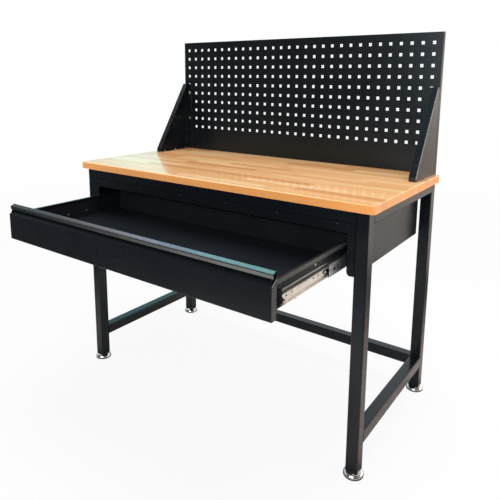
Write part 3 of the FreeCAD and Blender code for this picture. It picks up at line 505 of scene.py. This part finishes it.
def thicken(path, sheet):
    # the sheet lies to the right of the path
    left, right = [], []
    for k, point in enumerate(path):
        before = Vector(path[max(k - 1, 0)])
        after = Vector(path[min(k + 1, len(path) - 1)])
        along = (after - before).normalized()
        side = Vector((along.y, -along.x))
        left.append(tuple(point))
        right.append(tuple(Vector(point) + side * sheet))
    return left + right[::-1]


def box(low, high):
    outline = [(low[1], low[2]), (high[1], low[2]), (high[1], high[2]), (low[1], high[2])]
    return sweepX(outline, (low[0], high[0]))


def addPiece(name, shape, slotName, body, replaced=(), smooth=35, bevel=0):
    mesh = bpy.data.meshes.new(name)
    mesh.from_pydata([tuple(p) for p in shape[0]], [], shape[1])
    mesh.update()
    if bevel:
        work = bmesh.new()
        work.from_mesh(mesh)
        steep = math.radians(40)
        sharp = [edge for edge in work.edges if edge.is_manifold and edge.calc_face_angle() > steep]
        bmesh.ops.bevel(work, geom=sharp, offset=bevel, segments=2, affect="EDGES", profile=0.5)
        work.to_mesh(mesh)
        work.free()
    mesh.shade_smooth()
    mesh.set_sharp_from_angle(angle=math.radians(smooth))
    mesh.materials.append(finishes[slotName])
    piece = bpy.data.objects.new(name, mesh)
    scene.collection.objects.link(piece)
    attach(piece, body)
    if replaced:
        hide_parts(*replaced)


def centre(node):
    low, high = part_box(node)
    return (low + high) / 2


# screw heads with a cross recess, hexagon bolts and threads

threadRoot = 0.82  # share of a thread's radius


def crossHead(radius, high, cross):
    # a pan head standing on z = 0, its recess cut down into the top
    steps = 24
    topRadius = radius * 0.62
    side = [
        (0, 0), (radius, 0), (radius, high * 0.35), (radius * 0.93, high * 0.68), (radius * 0.8, high * 0.9),
        (topRadius, high)]
    body = lathe(side, steps)
    arm, half, deep = cross * topRadius, cross * topRadius * 0.3, high * 0.55
    outline = [
        (arm, -half), (arm, half), (half, half), (half, arm), (-half, arm), (-half, half),
        (-arm, half), (-arm, -half), (-half, -half), (-half, -arm), (half, -arm), (half, -half)]
    work = bmesh.new()
    rim = [work.verts.new(point) for point in ringPoints(topRadius, high, steps)]
    lip = [work.verts.new((x, y, high)) for x, y in outline]
    floor = [work.verts.new((x * 0.6, y * 0.6, high - deep)) for x, y in outline]
    loops = []
    for loop in (rim, lip):
        loops += [work.edges.new((loop[k], loop[(k + 1) % len(loop)])) for k in range(len(loop))]
    bmesh.ops.triangle_fill(work, edges=loops, use_beauty=True)
    for k in range(len(outline)):
        after = (k + 1) % len(outline)
        work.faces.new((lip[k], lip[after], floor[after], floor[k]))
    work.faces.new(floor)
    bmesh.ops.recalc_face_normals(work, faces=work.faces)
    work.verts.index_update()
    top = [tuple(v.co) for v in work.verts], [[v.index for v in face.verts] for face in work.faces]
    up = sum(face.normal.z * face.calc_area() for face in work.faces)
    work.free()
    if up < 0:
        top = top[0], [face[::-1] for face in top[1]]
    return joinShapes(body, top)


def threaded(radius, low, high, pitch, tip=True):
    # a shank with thread crests, from the low end to the high end
    profile = [(0, low), (radius * 0.7, low)]
    turns = max(1, int((high - low) / pitch))
    for k in range(turns):
        start = low + k * (high - low) / turns
        share = min(1, 0.8 + k * 0.1) if tip else 1
        profile += [(radius * threadRoot * share, start + pitch * 0.1), (radius * share, start + pitch * 0.5)]
    return lathe(profile + [(radius * threadRoot, high)], 20)


def hexagon(cornerRadius, low, high, bore=0.0):
    # bevelled six-sided body, as on nuts and bolt heads
    slant = (high - low) * 0.15
    return lathe([
        (bore, low), (cornerRadius * 0.9, low), (cornerRadius, low + slant), (cornerRadius, high - slant),
        (cornerRadius * 0.9, high), (bore, high)], 6)


def panScrew(look):
    head = crossHead(look["head"], look["high"], look["cross"])
    return joinShapes(head, threaded(look["shank"], -look["long"], 0, look["pitch"]))


def hexBolt(look, plain, long):
    # a head under z = 0, above it a plain shank, the thread and a closed end
    shank = look["shank"]
    end = long - look["tip"]
    return joinShapes(
        hexagon(look["corner"], -look["head"], 0.0), lathe([(shank, 0), (shank, plain)], 20),
        threaded(shank, plain, end, look["pitch"], False), lathe([(shank * threadRoot, end), (0, long)], 20))


def solidCentres(node):
    # middle of each separate solid in a node
    work = bmesh.new()
    work.from_mesh(frame["nodes"][node].data)
    bmesh.ops.remove_doubles(work, verts=work.verts, dist=1e-6)
    seen, found = set(), []
    for vert in work.verts:
        if vert in seen:
            continue
        group, queue = [], [vert]
        seen.add(vert)
        while queue:
            here = queue.pop()
            group.append(here.co.copy())
            for edge in here.link_edges:
                other = edge.other_vert(here)
                if other not in seen:
                    seen.add(other)
                    queue.append(other)
        low = Vector([min(p[axis] for p in group) for axis in range(3)])
        high = Vector([max(p[axis] for p in group) for axis in range(3)])
        found.append((low + high) / 2)
    work.free()
    return sorted(found, key=lambda p: (round(p.x, 4), round(p.y, 4), round(p.z, 4)))


def standing(shape, node, seat, turn):
    # the shape at each solid of the node, each turned a little further than the last
    shapes = []
    for k, middle in enumerate(solidCentres(node)):
        place = Matrix.Translation((middle.x, middle.y, seat))
        shapes.append(moveShape(shape, place @ Matrix.Rotation(turn * k, 4, "Z")))
    return joinShapes(*shapes)


screwLook = {
    "head": 0.0045, "high": 0.0022, "shank": 0.0019, "long": 0.0167, "pitch": 0.0016, "cross": 0.78,
    "turn": 0.6}


def addPlateScrews(look):
    for node in ("gusset_screws", "pegboard_screws"):
        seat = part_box(node)[1].z - look["high"]
        screws = standing(panScrew(look), node, seat, look["turn"])
        addPiece(node.replace("_s", "S"), screws, "zinc_steel", "bench", (node,))


boltLook = {
    "corner": 0.006, "head": 0.0035, "shank": 0.0029, "pitch": 0.001, "tip": 0.0001, "nut": 0.0055,
    "turn": 0.4}


def addGussetBolts(look):
    low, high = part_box("gusset_bolts")
    nutLow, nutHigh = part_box("gusset_nuts")
    head = look["head"]
    bolt = hexBolt(look, nutLow.y - low.y - head, high.y - low.y - head)
    nut = hexagon(look["nut"], 0.0, nutHigh.y - nutLow.y, look["shank"])
    bolts, nuts = [], []
    for k, middle in enumerate(solidCentres("gusset_bolts")):
        turn = Matrix.Rotation(look["turn"] * k, 4, "Z")
        bolts.append(moveShape(bolt, toward((middle.x, low.y + head, middle.z), (0, 1, 0)) @ turn))
        nuts.append(moveShape(nut, toward((middle.x, nutLow.y, middle.z), (0, 1, 0)) @ turn))
    addPiece("gussetBolts", joinShapes(*bolts), "zinc_steel", "bench", ("gusset_bolts",))
    addPiece("gussetNuts", joinShapes(*nuts), "zinc_steel", "bench", ("gusset_nuts",))


topBoltLook = {
    "corner": 0.006, "head": 0.0035, "shank": 0.0028, "pitch": 0.0013, "tip": 0.0002, "plain": 0.6,
    "turn": 0.5}


def addTopBolts(look):
    low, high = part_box("worktop_bolts")
    long = high.z - low.z - look["head"]
    bolt = hexBolt(look, long * look["plain"], long)
    bolts = standing(bolt, "worktop_bolts", low.z + look["head"], look["turn"])
    addPiece("worktopBolts", bolts, "zinc_steel", "bench", ("worktop_bolts",))


trayScrewLook = {
    "head": 0.004, "high": 0.0021, "shank": 0.0018, "long": 0.0052, "pitch": 0.0011, "cross": 0.76,
    "stand": 0.0022}


def addTrayScrews(look):
    screw = panScrew(look)
    for hand, side in hands.items():
        node = f"{hand}_drawer_screws"
        low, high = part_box(node)
        seat = (high.x if side > 0 else low.x) - side * look["stand"]
        shapes = [moveShape(screw, toward((seat, p.y, p.z), (side, 0, 0))) for p in solidCentres(node)]
        addPiece(f"{hand}TrayScrews", joinShapes(*shapes), "zinc_steel", "drawer", (node,))


# levelling feet: turned and plated domes

footLook = {
    "neck": 0.0054, "under": ((0.0022, 0.0), (0.0006, 0.0006), (0.0, 0.002)), "rim": 0.0035, "dome": 0.0155,
    "domeSteps": 10, "steps": 64}


def addFeet(look):
    neck, rim, dome = look["neck"], look["rim"], look["dome"]
    for corner in corners:
        node = f"{corner}_foot"
        low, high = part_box(node)
        middle = (low + high) / 2
        radius = (high.x - low.x) / 2
        top = high.z - low.z
        under = [(radius - inset, height) for inset, height in look["under"]]
        profile = [(neck, 0.0), *under, (radius, rim)]
        for k in range(1, look["domeSteps"] + 1):
            angle = math.pi / 2 * k / look["domeSteps"]
            profile.append((radius - dome + dome * math.cos(angle), rim + (top - rim) * math.sin(angle)))
        turned = lathe(profile + [(neck, top), (neck, 0.0)], look["steps"])
        foot = moveShape(turned, Matrix.Translation((middle.x, middle.y, low.z)))
        addPiece(f"{corner}Dome", foot, "chrome_plate", f"{corner}_leveller", (node,))


# rivets on the drawer case

rivetLook = {"radius": 0.0042, "high": 0.0011, "columns": (0.487, 0.2925, 0.0975), "fromTop": 0.006}


def rivet(radius, high):
    sunk = -0.0004
    return lathe([
        (0, sunk), (radius, sunk), (radius, high * 0.15), (radius * 0.86, high * 0.6),
        (radius * 0.55, high * 0.92), (radius * 0.3, high), (radius * 0.24, high * 0.8), (0, high * 0.8)], 24)


def addRivets(look):
    low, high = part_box("case_front_band")
    shape = rivet(look["radius"], look["high"])
    shapes = []
    for column in look["columns"]:
        for side in (-1, 1):
            place = (side * column, low.y, high.z - look["fromTop"])
            shapes.append(moveShape(shape, toward(place, (0, -1, 0))))
    addPiece("bandRivets", joinShapes(*shapes), "black_coat", "bench")


# weld beads in the inside corners of the frame

weldLook = {
    "size": 0.0026, "ripple": 0.0034, "steps": 5, "inset": 0.004, "sunk": 0.0003, "trough": 0.86,
    "crest": 0.14, "endShare": 0.35, "endGrowth": 6, "full": 0.78, "bulge": 0.1}


def weldBead(start, end, first, second, look):
    # rippled fillet along a line, between two faces that leave the line towards first and second
    start, end, first, second = Vector(start), Vector(end), Vector(first), Vector(second)
    length = (end - start).length
    count = max(2, int(length / look["ripple"] * 4))
    points, faces = [], []
    for k in range(count + 1):
        share = k / count
        wave = abs(math.sin(math.pi * share * length / look["ripple"]))
        size = look["size"] * (look["trough"] + look["crest"] * wave)
        size *= min(1, look["endShare"] + look["endGrowth"] * min(share, 1 - share))
        here = start.lerp(end, share)
        points.append(here - (first + second) * look["sunk"])
        for j in range(look["steps"]):
            angle = math.pi / 2 * j / (look["steps"] - 1)
            bulge = look["full"] + look["bulge"] * math.sin(2 * angle)
            points.append(here + (first * math.cos(angle) + second * math.sin(angle)) * size * bulge)
    ring = look["steps"] + 1
    for k in range(count):
        for j in range(ring):
            a, b = k * ring + j, k * ring + (j + 1) % ring
            faces.append([a, b, b + ring, a + ring])
    faces += [list(range(ring))[::-1], list(range(count * ring, (count + 1) * ring))]
    across = first.cross(second)
    if across.dot(end - start) < 0:
        faces = [face[::-1] for face in faces]
    return points, faces


def addWelds(look):
    shapes = []
    rails = [n for n in frame["nodes"] if n.endswith("_rail")]
    for node in sorted(rails):
        low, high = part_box(node)
        along = 0 if high.x - low.x > high.y - low.y else 1
        across = 1 - along
        inside = -1 if (low[across] + high[across]) / 2 > bayMiddle[across] else 1
        innerFace = high[across] if inside > 0 else low[across]
        for end, outward in ((low[along], 1), (high[along], -1)):
            levels = [(low.z, -1)] if "upper" in node else [(low.z, -1), (high.z, 1)]
            away = Vector((0, 0, 0))
            away[along] = outward
            for level, up in levels:
                start, stop = Vector((0, 0, level)), Vector((0, 0, level))
                start[along] = stop[along] = end
                start[across], stop[across] = low[across] + look["inset"], high[across] - look["inset"]
                shapes.append(weldBead(start, stop, away, (0, 0, up), look))
            start, stop = Vector((0, 0, low.z + look["inset"])), Vector((0, 0, high.z - look["inset"]))
            start[along] = stop[along] = end
            start[across] = stop[across] = innerFace
            inward = Vector((0, 0, 0))
            inward[across] = inside
            shapes.append(weldBead(start, stop, away, inward, look))
    addPiece("frameWelds", joinShapes(*shapes), "black_coat", "bench", smooth=60)


# drawer front: one folded sheet with a rolled lip over the finger channel, dark plugs near its ends that
# stand in for shade

frontLook = {
    "sheet": 0.0012, "faceHigh": 0.0835, "shelfRise": 0.0148, "shelfRun": 0.02, "lipIn": 0.005,
    "lipHigh": 0.0165, "faceBend": 0.0022, "shelfBend": 0.0011, "wallBend": 0.0016, "lipBend": 0.0016,
    "lipFall": 0.0062, "lipTuck": 0.0015, "play": 0.0003, "plug": 0.003, "plugIn": 0.004, "plugMouth": 0.003,
    "plugCorner": 0.001, "plugBend": 0.6, "plugLow": 0.0006, "plugEdge": 0.0004}


def addDrawerFront(look):
    low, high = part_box("drawer_front")
    front, back, bottom, top, half = low.y, high.y, low.z, high.z, high.x
    sheet, play = look["sheet"], look["play"]
    wall = front + look["shelfRun"]
    lip = front + look["lipIn"] + sheet
    faceTop = bottom + look["faceHigh"]
    shelfTop = faceTop + look["shelfRise"]
    under = top - sheet
    crest = under - look["lipFall"]
    lipLow = top - look["lipHigh"]
    path = roundedPath([
        (back, bottom, 0), (front, bottom, look["faceBend"]), (front, faceTop, look["shelfBend"]),
        (wall, shelfTop, look["shelfBend"]), (wall, under, look["wallBend"]), (lip, crest, look["lipBend"]),
        (lip + look["lipTuck"], lipLow, 0)], 8)
    shapes = [sweepX(thicken(path, sheet), (-half + play, half - play))]
    skin = sheet / 2
    side = [
        (front + skin, bottom + skin), (front + skin, faceTop - skin), (wall + skin, shelfTop - skin),
        (wall + skin, bottom + skin)]
    # dark plastic plugs close the hook a little way in from its ends, partly end caps, partly a dark fill
    # that stands in for the shade inside the hook
    bend = look["lipBend"] * look["plugBend"]
    mouth, corner = look["plugMouth"], look["plugCorner"]
    plug = [
        (front + mouth, faceTop + mouth * look["shelfRise"] / look["shelfRun"] + play),
        (wall - play, shelfTop + play), (wall - play, under - corner), (wall - corner, under - play * 2),
        (lip + bend, crest - play), (lip + play, crest - bend),
        (lip + look["lipTuck"] + play, lipLow + look["plugLow"])]
    plugOut = half - look["plugIn"]
    plugs = []
    for sign in (-1, 1):
        shapes.append(sweepX(side, sorted((sign * half, sign * (half - sheet)))))
        plugs.append(sweepX(plug, sorted((sign * plugOut, sign * (plugOut - look["plug"])))))
    addPiece("drawerFront", joinShapes(*shapes), "black_coat", "drawer", ("drawer_front",), smooth=50)
    addPiece("pullPlugs", joinShapes(*plugs), "black_plastic", "drawer", bevel=look["plugEdge"])


# rivets, strips, stop pads and moulded buffers along the runners

innerHalf = 0.0119  # from the middle of a runner to the top of its inner member


def runnerPlace(hand, sign):
    # front end, middle height and tray side of the inner member
    low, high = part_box(f"{hand}_runner_inner")
    return low.y, high.z - innerHalf, low.x if sign > 0 else high.x


runnerRivetLook = {
    "atFront": {"out": 0.0072, "back": 0.008, "up": -0.0066, "radius": 0.0031, "high": 0.0013},
    "onTray": {"out": 0.0, "back": 0.168, "up": 0.0325, "radius": 0.003, "high": 0.0014}}


def addRunnerRivets(hand, sign, look):
    front, middle, web = runnerPlace(hand, sign)
    shapes = []
    for one in look.values():
        place = (web + sign * one["out"], front + one["back"], middle + one["up"])
        shapes.append(moveShape(rivet(one["radius"], one["high"]), toward(place, (sign, 0, 0))))
    addPiece(f"{hand}RunnerRivets", joinShapes(*shapes), "zinc_steel", "drawer")


# the lower strip is a pale zinc sheet below the runner that stands in for the light on the runner's lower
# edge
beadLook = {
    "strips": ((0.024, -0.0218, -0.0145), (0.001, 0.0142, 0.0202)),  # start, low and high of each
    "sunk": 0.0002, "proud": 0.001, "short": 0.012, "edge": 0.0006}


def addTrayBeads(hand, sign, look):
    front, middle, web = runnerPlace(hand, sign)
    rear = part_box("drawer_tray")[1].y - look["short"]
    left, right = sorted((web - sign * look["sunk"], web + sign * look["proud"]))
    beads = []
    # the lower strip stands in for light on the runner's lower edge
    for start, low, high in look["strips"]:
        beads.append(box((left, front + start, middle + low), (right, rear, middle + high)))
    addPiece(f"{hand}TrayBeads", joinShapes(*beads), "zinc_steel", "drawer", bevel=look["edge"])


padLook = {
    "out": 0.519, "back": (0.027, 0.045), "wide": 0.0052, "half": 0.0058, "sunk": 0.0004, "proud": 0.0003,
    "edge": 0.0002}


def addStopPads(hand, sign, look):
    # they fill the slots near the front of the middle member
    middle = runnerPlace(hand, sign)[1]
    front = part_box(f"{hand}_runner_middle")[0].y
    face = look["out"] * sign
    left, right = sorted((face - sign * look["sunk"], face + sign * look["proud"]))
    low, high = middle - look["half"], middle + look["half"]
    pads = []
    for back in look["back"]:
        near = front + back
        pads.append(box((left, near, low), (right, near + look["wide"], high)))
    addPiece(f"{hand}StopPads", joinShapes(*pads), "black_plastic", f"{hand}_middle", bevel=look["edge"])


bufferLook = {
    "gap": 0.0004, "ribs": 3, "ribFirst": 0.004, "ribStep": 0.0105, "ribHigh": 0.0045, "ribShare": 0.22,
    "ribSunk": 0.0002, "ribFront": 0.002, "ribRear": 0.001, "tongueOut": (0.0014, 0.0072),
    "tongueUp": (-0.0102, -0.0024), "tongueIn": 0.002, "edge": 0.0006}


def addBuffer(hand, sign, look):
    front, middle, web = runnerPlace(hand, sign)
    node = f"{hand}_runner_buffer"
    low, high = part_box(node)
    rear = front - look["gap"]
    step = (high.x - low.x) * look["ribShare"]
    # ribs stand on the side that faces away from the tray
    plain = (low.x, high.x - step) if sign > 0 else (low.x + step, high.x)
    ribbed = (high.x - step, high.x) if sign > 0 else (low.x, low.x + step)
    blocks = [box((plain[0], low.y, low.z), (plain[1], rear, high.z))]
    for k in range(look["ribs"]):
        level = low.z + look["ribFirst"] + k * look["ribStep"]
        blocks.append(box(
            (ribbed[0] - look["ribSunk"], low.y + look["ribFront"], level),
            (ribbed[1], rear - look["ribRear"], level + look["ribHigh"])))
    left, right = sorted(web + sign * out for out in look["tongueOut"])
    under, over = (middle + up for up in look["tongueUp"])
    blocks.append(box((left, rear - look["tongueIn"], under), (right, high.y, over)))
    addPiece(f"{hand}Buffer", joinShapes(*blocks), "black_plastic", "drawer", (node,), bevel=look["edge"])


legCentres = [centre(f"{corner}_leg") for corner in corners]
bayMiddle = sum(legCentres, Vector()) / len(legCentres)

addPlateScrews(screwLook)
addGussetBolts(boltLook)
addTopBolts(topBoltLook)
addTrayScrews(trayScrewLook)
addFeet(footLook)
addRivets(rivetLook)
addWelds(weldLook)
print("fasteners, feet, rivets and welds placed")
addDrawerFront(frontLook)
for hand, sign in hands.items():
    addRunnerRivets(hand, sign, runnerRivetLook)
    addTrayBeads(hand, sign, beadLook)
    addStopPads(hand, sign, padLook)
    addBuffer(hand, sign, bufferLook)
print("drawer front and runner parts placed")


# stage: pale floor, soft lamps and the camera

floorLook = {
    "half": 24.0, "colour": (0.8, 0.8, 0.795, 1), "stain": (0.77, 0.77, 0.77, 1), "stainScale": 1.5,
    "rough": 0.75, "warm": (0.82, 0.73, 0.71, 1), "warmRight": (0.88, 0.71, 0.63, 1), "rightFrom": (0.3, 0.8),
    "shade": (0.09, 0.1, 0.11, 1), "shadeReach": (0.04, 0.1),
    "feetOut": 0.562, "feetMiddle": 0.1775, "feetHalf": 0.27,
    "lift": (0.91, 1.0), "liftReach": (1.4, 5.0), "mirrorShare": (0.0, 0.9), "mirrorReach": (0.85, 1.6),
    "mirror": (0.05, 0.45), "mirrorTint": (0.74, 0.95, 1.08, 1), "farReach": (4.0, 14.0),
    "viewerReach": (-7.0, -2.0), "viewerSide": 0.35}


def addFloor(look):
    half = look["half"]
    mesh = bpy.data.meshes.new("floor")
    square = [(-half, -half, 0), (half, -half, 0), (half, half, 0), (-half, half, 0)]
    mesh.from_pydata(square, [], [[0, 1, 2, 3]])
    finish, tree, shader = newFinish("paleFloor")
    place = spot(tree)
    axes = split(tree, place)
    rays = addNode(tree, "ShaderNodeLightPath").outputs
    mirrored = rays["Is Glossy Ray"]
    # polished faces mirror a warm floor, shaded round the feet
    beside = calc(tree, "SUBTRACT", calc(tree, "ABSOLUTE", axes["X"]), look["feetOut"])
    fromMiddle = calc(tree, "ABSOLUTE", calc(tree, "SUBTRACT", axes["Y"], look["feetMiddle"]))
    along = calc(tree, "SUBTRACT", fromMiddle, look["feetHalf"])
    fromFoot = vectorLength(tree, combine(tree, beside, along))
    warm = mixColours(tree, rising(tree, axes["X"], look["rightFrom"]), look["warm"], look["warmRight"])
    warm = mixColours(tree, falling(tree, fromFoot, look["shadeReach"]), warm, look["shade"])
    stains = noise(tree, place, look["stainScale"], 4.0, 0.6)
    plain = mixColours(tree, stains, look["colour"], look["stain"])
    colour = mixColours(tree, mirrored, plain, warm)
    setInputs(tree, shader, {"Base Color": colour, "Roughness": look["rough"]})
    # white to the eye, greyer away from the bench where polished faces mirror it
    away = vectorLength(tree, place)
    seen = calc(tree, "MAXIMUM", rays["Is Camera Ray"], rays["Is Transmission Ray"])
    lift = times(tree, seen, remap(tree, away, *look["liftReach"], *look["lift"]))
    dim = times(tree, mirrored, remap(tree, away, *look["mirrorReach"], *look["mirrorShare"]))
    toViewer = remap(tree, axes["Y"], *look["viewerReach"], look["viewerSide"], 1.0)
    far = times(tree, remap(tree, away, *look["farReach"], *look["mirror"]), toViewer)
    tint = mixColours(tree, mirrored, (1, 1, 1, 1), look["mirrorTint"])
    strength = mixValues(tree, mirrored, 1.0, far)
    glow = addNode(tree, "ShaderNodeEmission", {"Color": tint, "Strength": strength})
    share = calc(tree, "ADD", lift, dim)
    blend = addNode(tree, "ShaderNodeMixShader", {0: share, 1: shader.outputs[0], 2: glow.outputs[0]})
    tree.links.new(blend.outputs[0], tree.nodes["Material Output"].inputs[0])
    mesh.materials.append(finish)
    floor = bpy.data.objects.new("floor", mesh)
    scene.collection.objects.link(floor)


def addLamp(name, place, target, size, power, colour, mirrored, lit):
    lamp = bpy.data.lights.new(name, "AREA")
    lamp.shape = "RECTANGLE"
    lamp.size, lamp.size_y = size
    lamp.energy = power
    lamp.color = colour
    holder = bpy.data.objects.new(name, lamp)
    holder.location = place
    holder.rotation_mode = "QUATERNION"
    holder.rotation_quaternion = (Vector(target) - Vector(place)).to_track_quat("-Z", "Y")
    holder.visible_glossy = mirrored
    holder.visible_diffuse = lit
    scene.collection.objects.link(holder)


lampLook = {  # place, target, size, power, colour, mirrored, lit
    "overhead": ((0.3, 0.3, 3.4), (0.35, 0.15, 0.8), (2.6, 2.0), 105, (1, 0.985, 0.965), False, True),
    "frontFill": ((0.8, -3.4, 1.7), (0, 0, 0.7), (2.4, 1.8), 80, (0.98, 0.99, 1), True, True),
    "rightWindow": ((3.0, 0.3, 2.3), (0.5, 0.1, 0.8), (1.3, 1.3), 15, (1, 0.97, 0.94), False, True),
    "backGlow": ((1.5, 3.1, 0.75), (0.5, 0.2, 0.9), (2.0, 1.3), 5.2, (1, 0.76, 0.56), True, False),
    "lowGlow": ((2.0, 1.15, 0.4), (0.5, -0.3, 0.55), (1.3, 0.75), 8.5, (1, 0.93, 0.87), True, True),
    "floorGlow": ((1.2, 1.65, 0.25), (0.55, 0.0, 0.6), (1.2, 0.5), 1.2, (1, 0.88, 0.8), True, False),
    "leftGlow": ((-2.72, 2.26, 1.3), (-0.5, 0.2, 0.9), (0.75, 0.5), 0.25, (0.05, 0.9, 1), True, False),
    "greenPane": ((-1.03, 0.28, 3.0), (0.4, -0.46, 0.73), (0.7, 1.0), 20, (0.45, 1, 0.95), True, False),
    "bluePane": ((-1.77, 0.28, 3.0), (0.2, -0.46, 0.73), (0.75, 1.0), 10, (0.5, 0.7, 1), True, False),
    "rosePane": ((-2.45, 0.28, 3.0), (0.0, -0.46, 0.73), (0.6, 1.0), 6.5, (1, 0.64, 0.6), True, False)}
worldLook = {
    "tint": (0.93, 0.97, 1, 1), "warm": (1, 0.9, 0.82, 1), "warmRight": (0.0, 0.3),
    "cool": (0.38, 0.84, 0.86, 1), "coolLeft": (-0.66, -0.44), "coolBack": (0.1, 0.4), "light": 0.42,
    "front": 0.2, "back": 0.95, "depth": (-0.7, 0.9), "sideShare": 0.5, "viewerSide": 0.4,
    "viewerReach": (-0.7, -0.3)}


def addLight(lamps, look):
    for name, lamp in lamps.items():
        addLamp(name, *lamp)
    world = bpy.data.worlds.new("paleRoom")
    world.use_nodes = True
    tree = world.node_tree
    rays = addNode(tree, "ShaderNodeLightPath").outputs
    seen = calc(tree, "MAXIMUM", rays["Is Camera Ray"], rays["Is Transmission Ray"])
    aim = split(tree, addNode(tree, "ShaderNodeTexCoord").outputs["Generated"])
    # the room is darker behind the viewer than behind the bench
    toBack = calc(tree, "SUBTRACT", aim["Y"], times(tree, aim["X"], look["sideShare"]))
    toViewer = remap(tree, aim["Y"], *look["viewerReach"], look["viewerSide"], 1.0)
    mirrored = times(tree, remap(tree, toBack, *look["depth"], look["front"], look["back"]), toViewer)
    light = mixValues(tree, rays["Is Glossy Ray"], look["light"], mirrored)
    tint = mixColours(tree, rising(tree, aim["X"], look["warmRight"]), look["tint"], look["warm"])
    cool = times(tree, falling(tree, aim["X"], look["coolLeft"]), rising(tree, aim["Y"], look["coolBack"]))
    tint = mixColours(tree, cool, tint, look["cool"])
    colour = mixColours(tree, seen, tint, (1, 1, 1, 1))
    strength = mixValues(tree, seen, light, 1.0)
    setInputs(tree, tree.nodes["Background"], {"Color": colour, "Strength": strength})
    scene.world = world


cameraLook = {
    "place": (1.0982, -1.3716, 1.1364), "yaw": 35.56, "pitch": -10.11, "roll": 0.46, "lens": 37.54,
    "shift": (-0.0016, -0.154)}


def addCamera(look):
    yaw, pitch, roll = (math.radians(look[key]) for key in ("yaw", "pitch", "roll"))
    forward = Vector((-math.sin(yaw) * math.cos(pitch), math.cos(yaw) * math.cos(pitch), math.sin(pitch)))
    right = Vector((math.cos(yaw), math.sin(yaw), 0))
    up = right.cross(forward)
    tilted = right * math.cos(roll) + up * math.sin(roll)
    upright = up * math.cos(roll) - right * math.sin(roll)
    lens = bpy.data.cameras.new("viewer")
    lens.sensor_width = 36
    lens.lens = look["lens"]
    lens.shift_x, lens.shift_y = look["shift"]
    lens.clip_end = 200
    viewer = bpy.data.objects.new("viewer", lens)
    turn = Matrix((tilted, upright, -forward)).transposed().to_4x4()
    viewer.matrix_world = Matrix.Translation(look["place"]) @ turn
    scene.collection.objects.link(viewer)
    scene.camera = viewer


addFloor(floorLook)
addLight(lampLook, worldLook)
addCamera(cameraLook)
scene.view_settings.view_transform = "Standard"
print("floor, lamps and camera set")
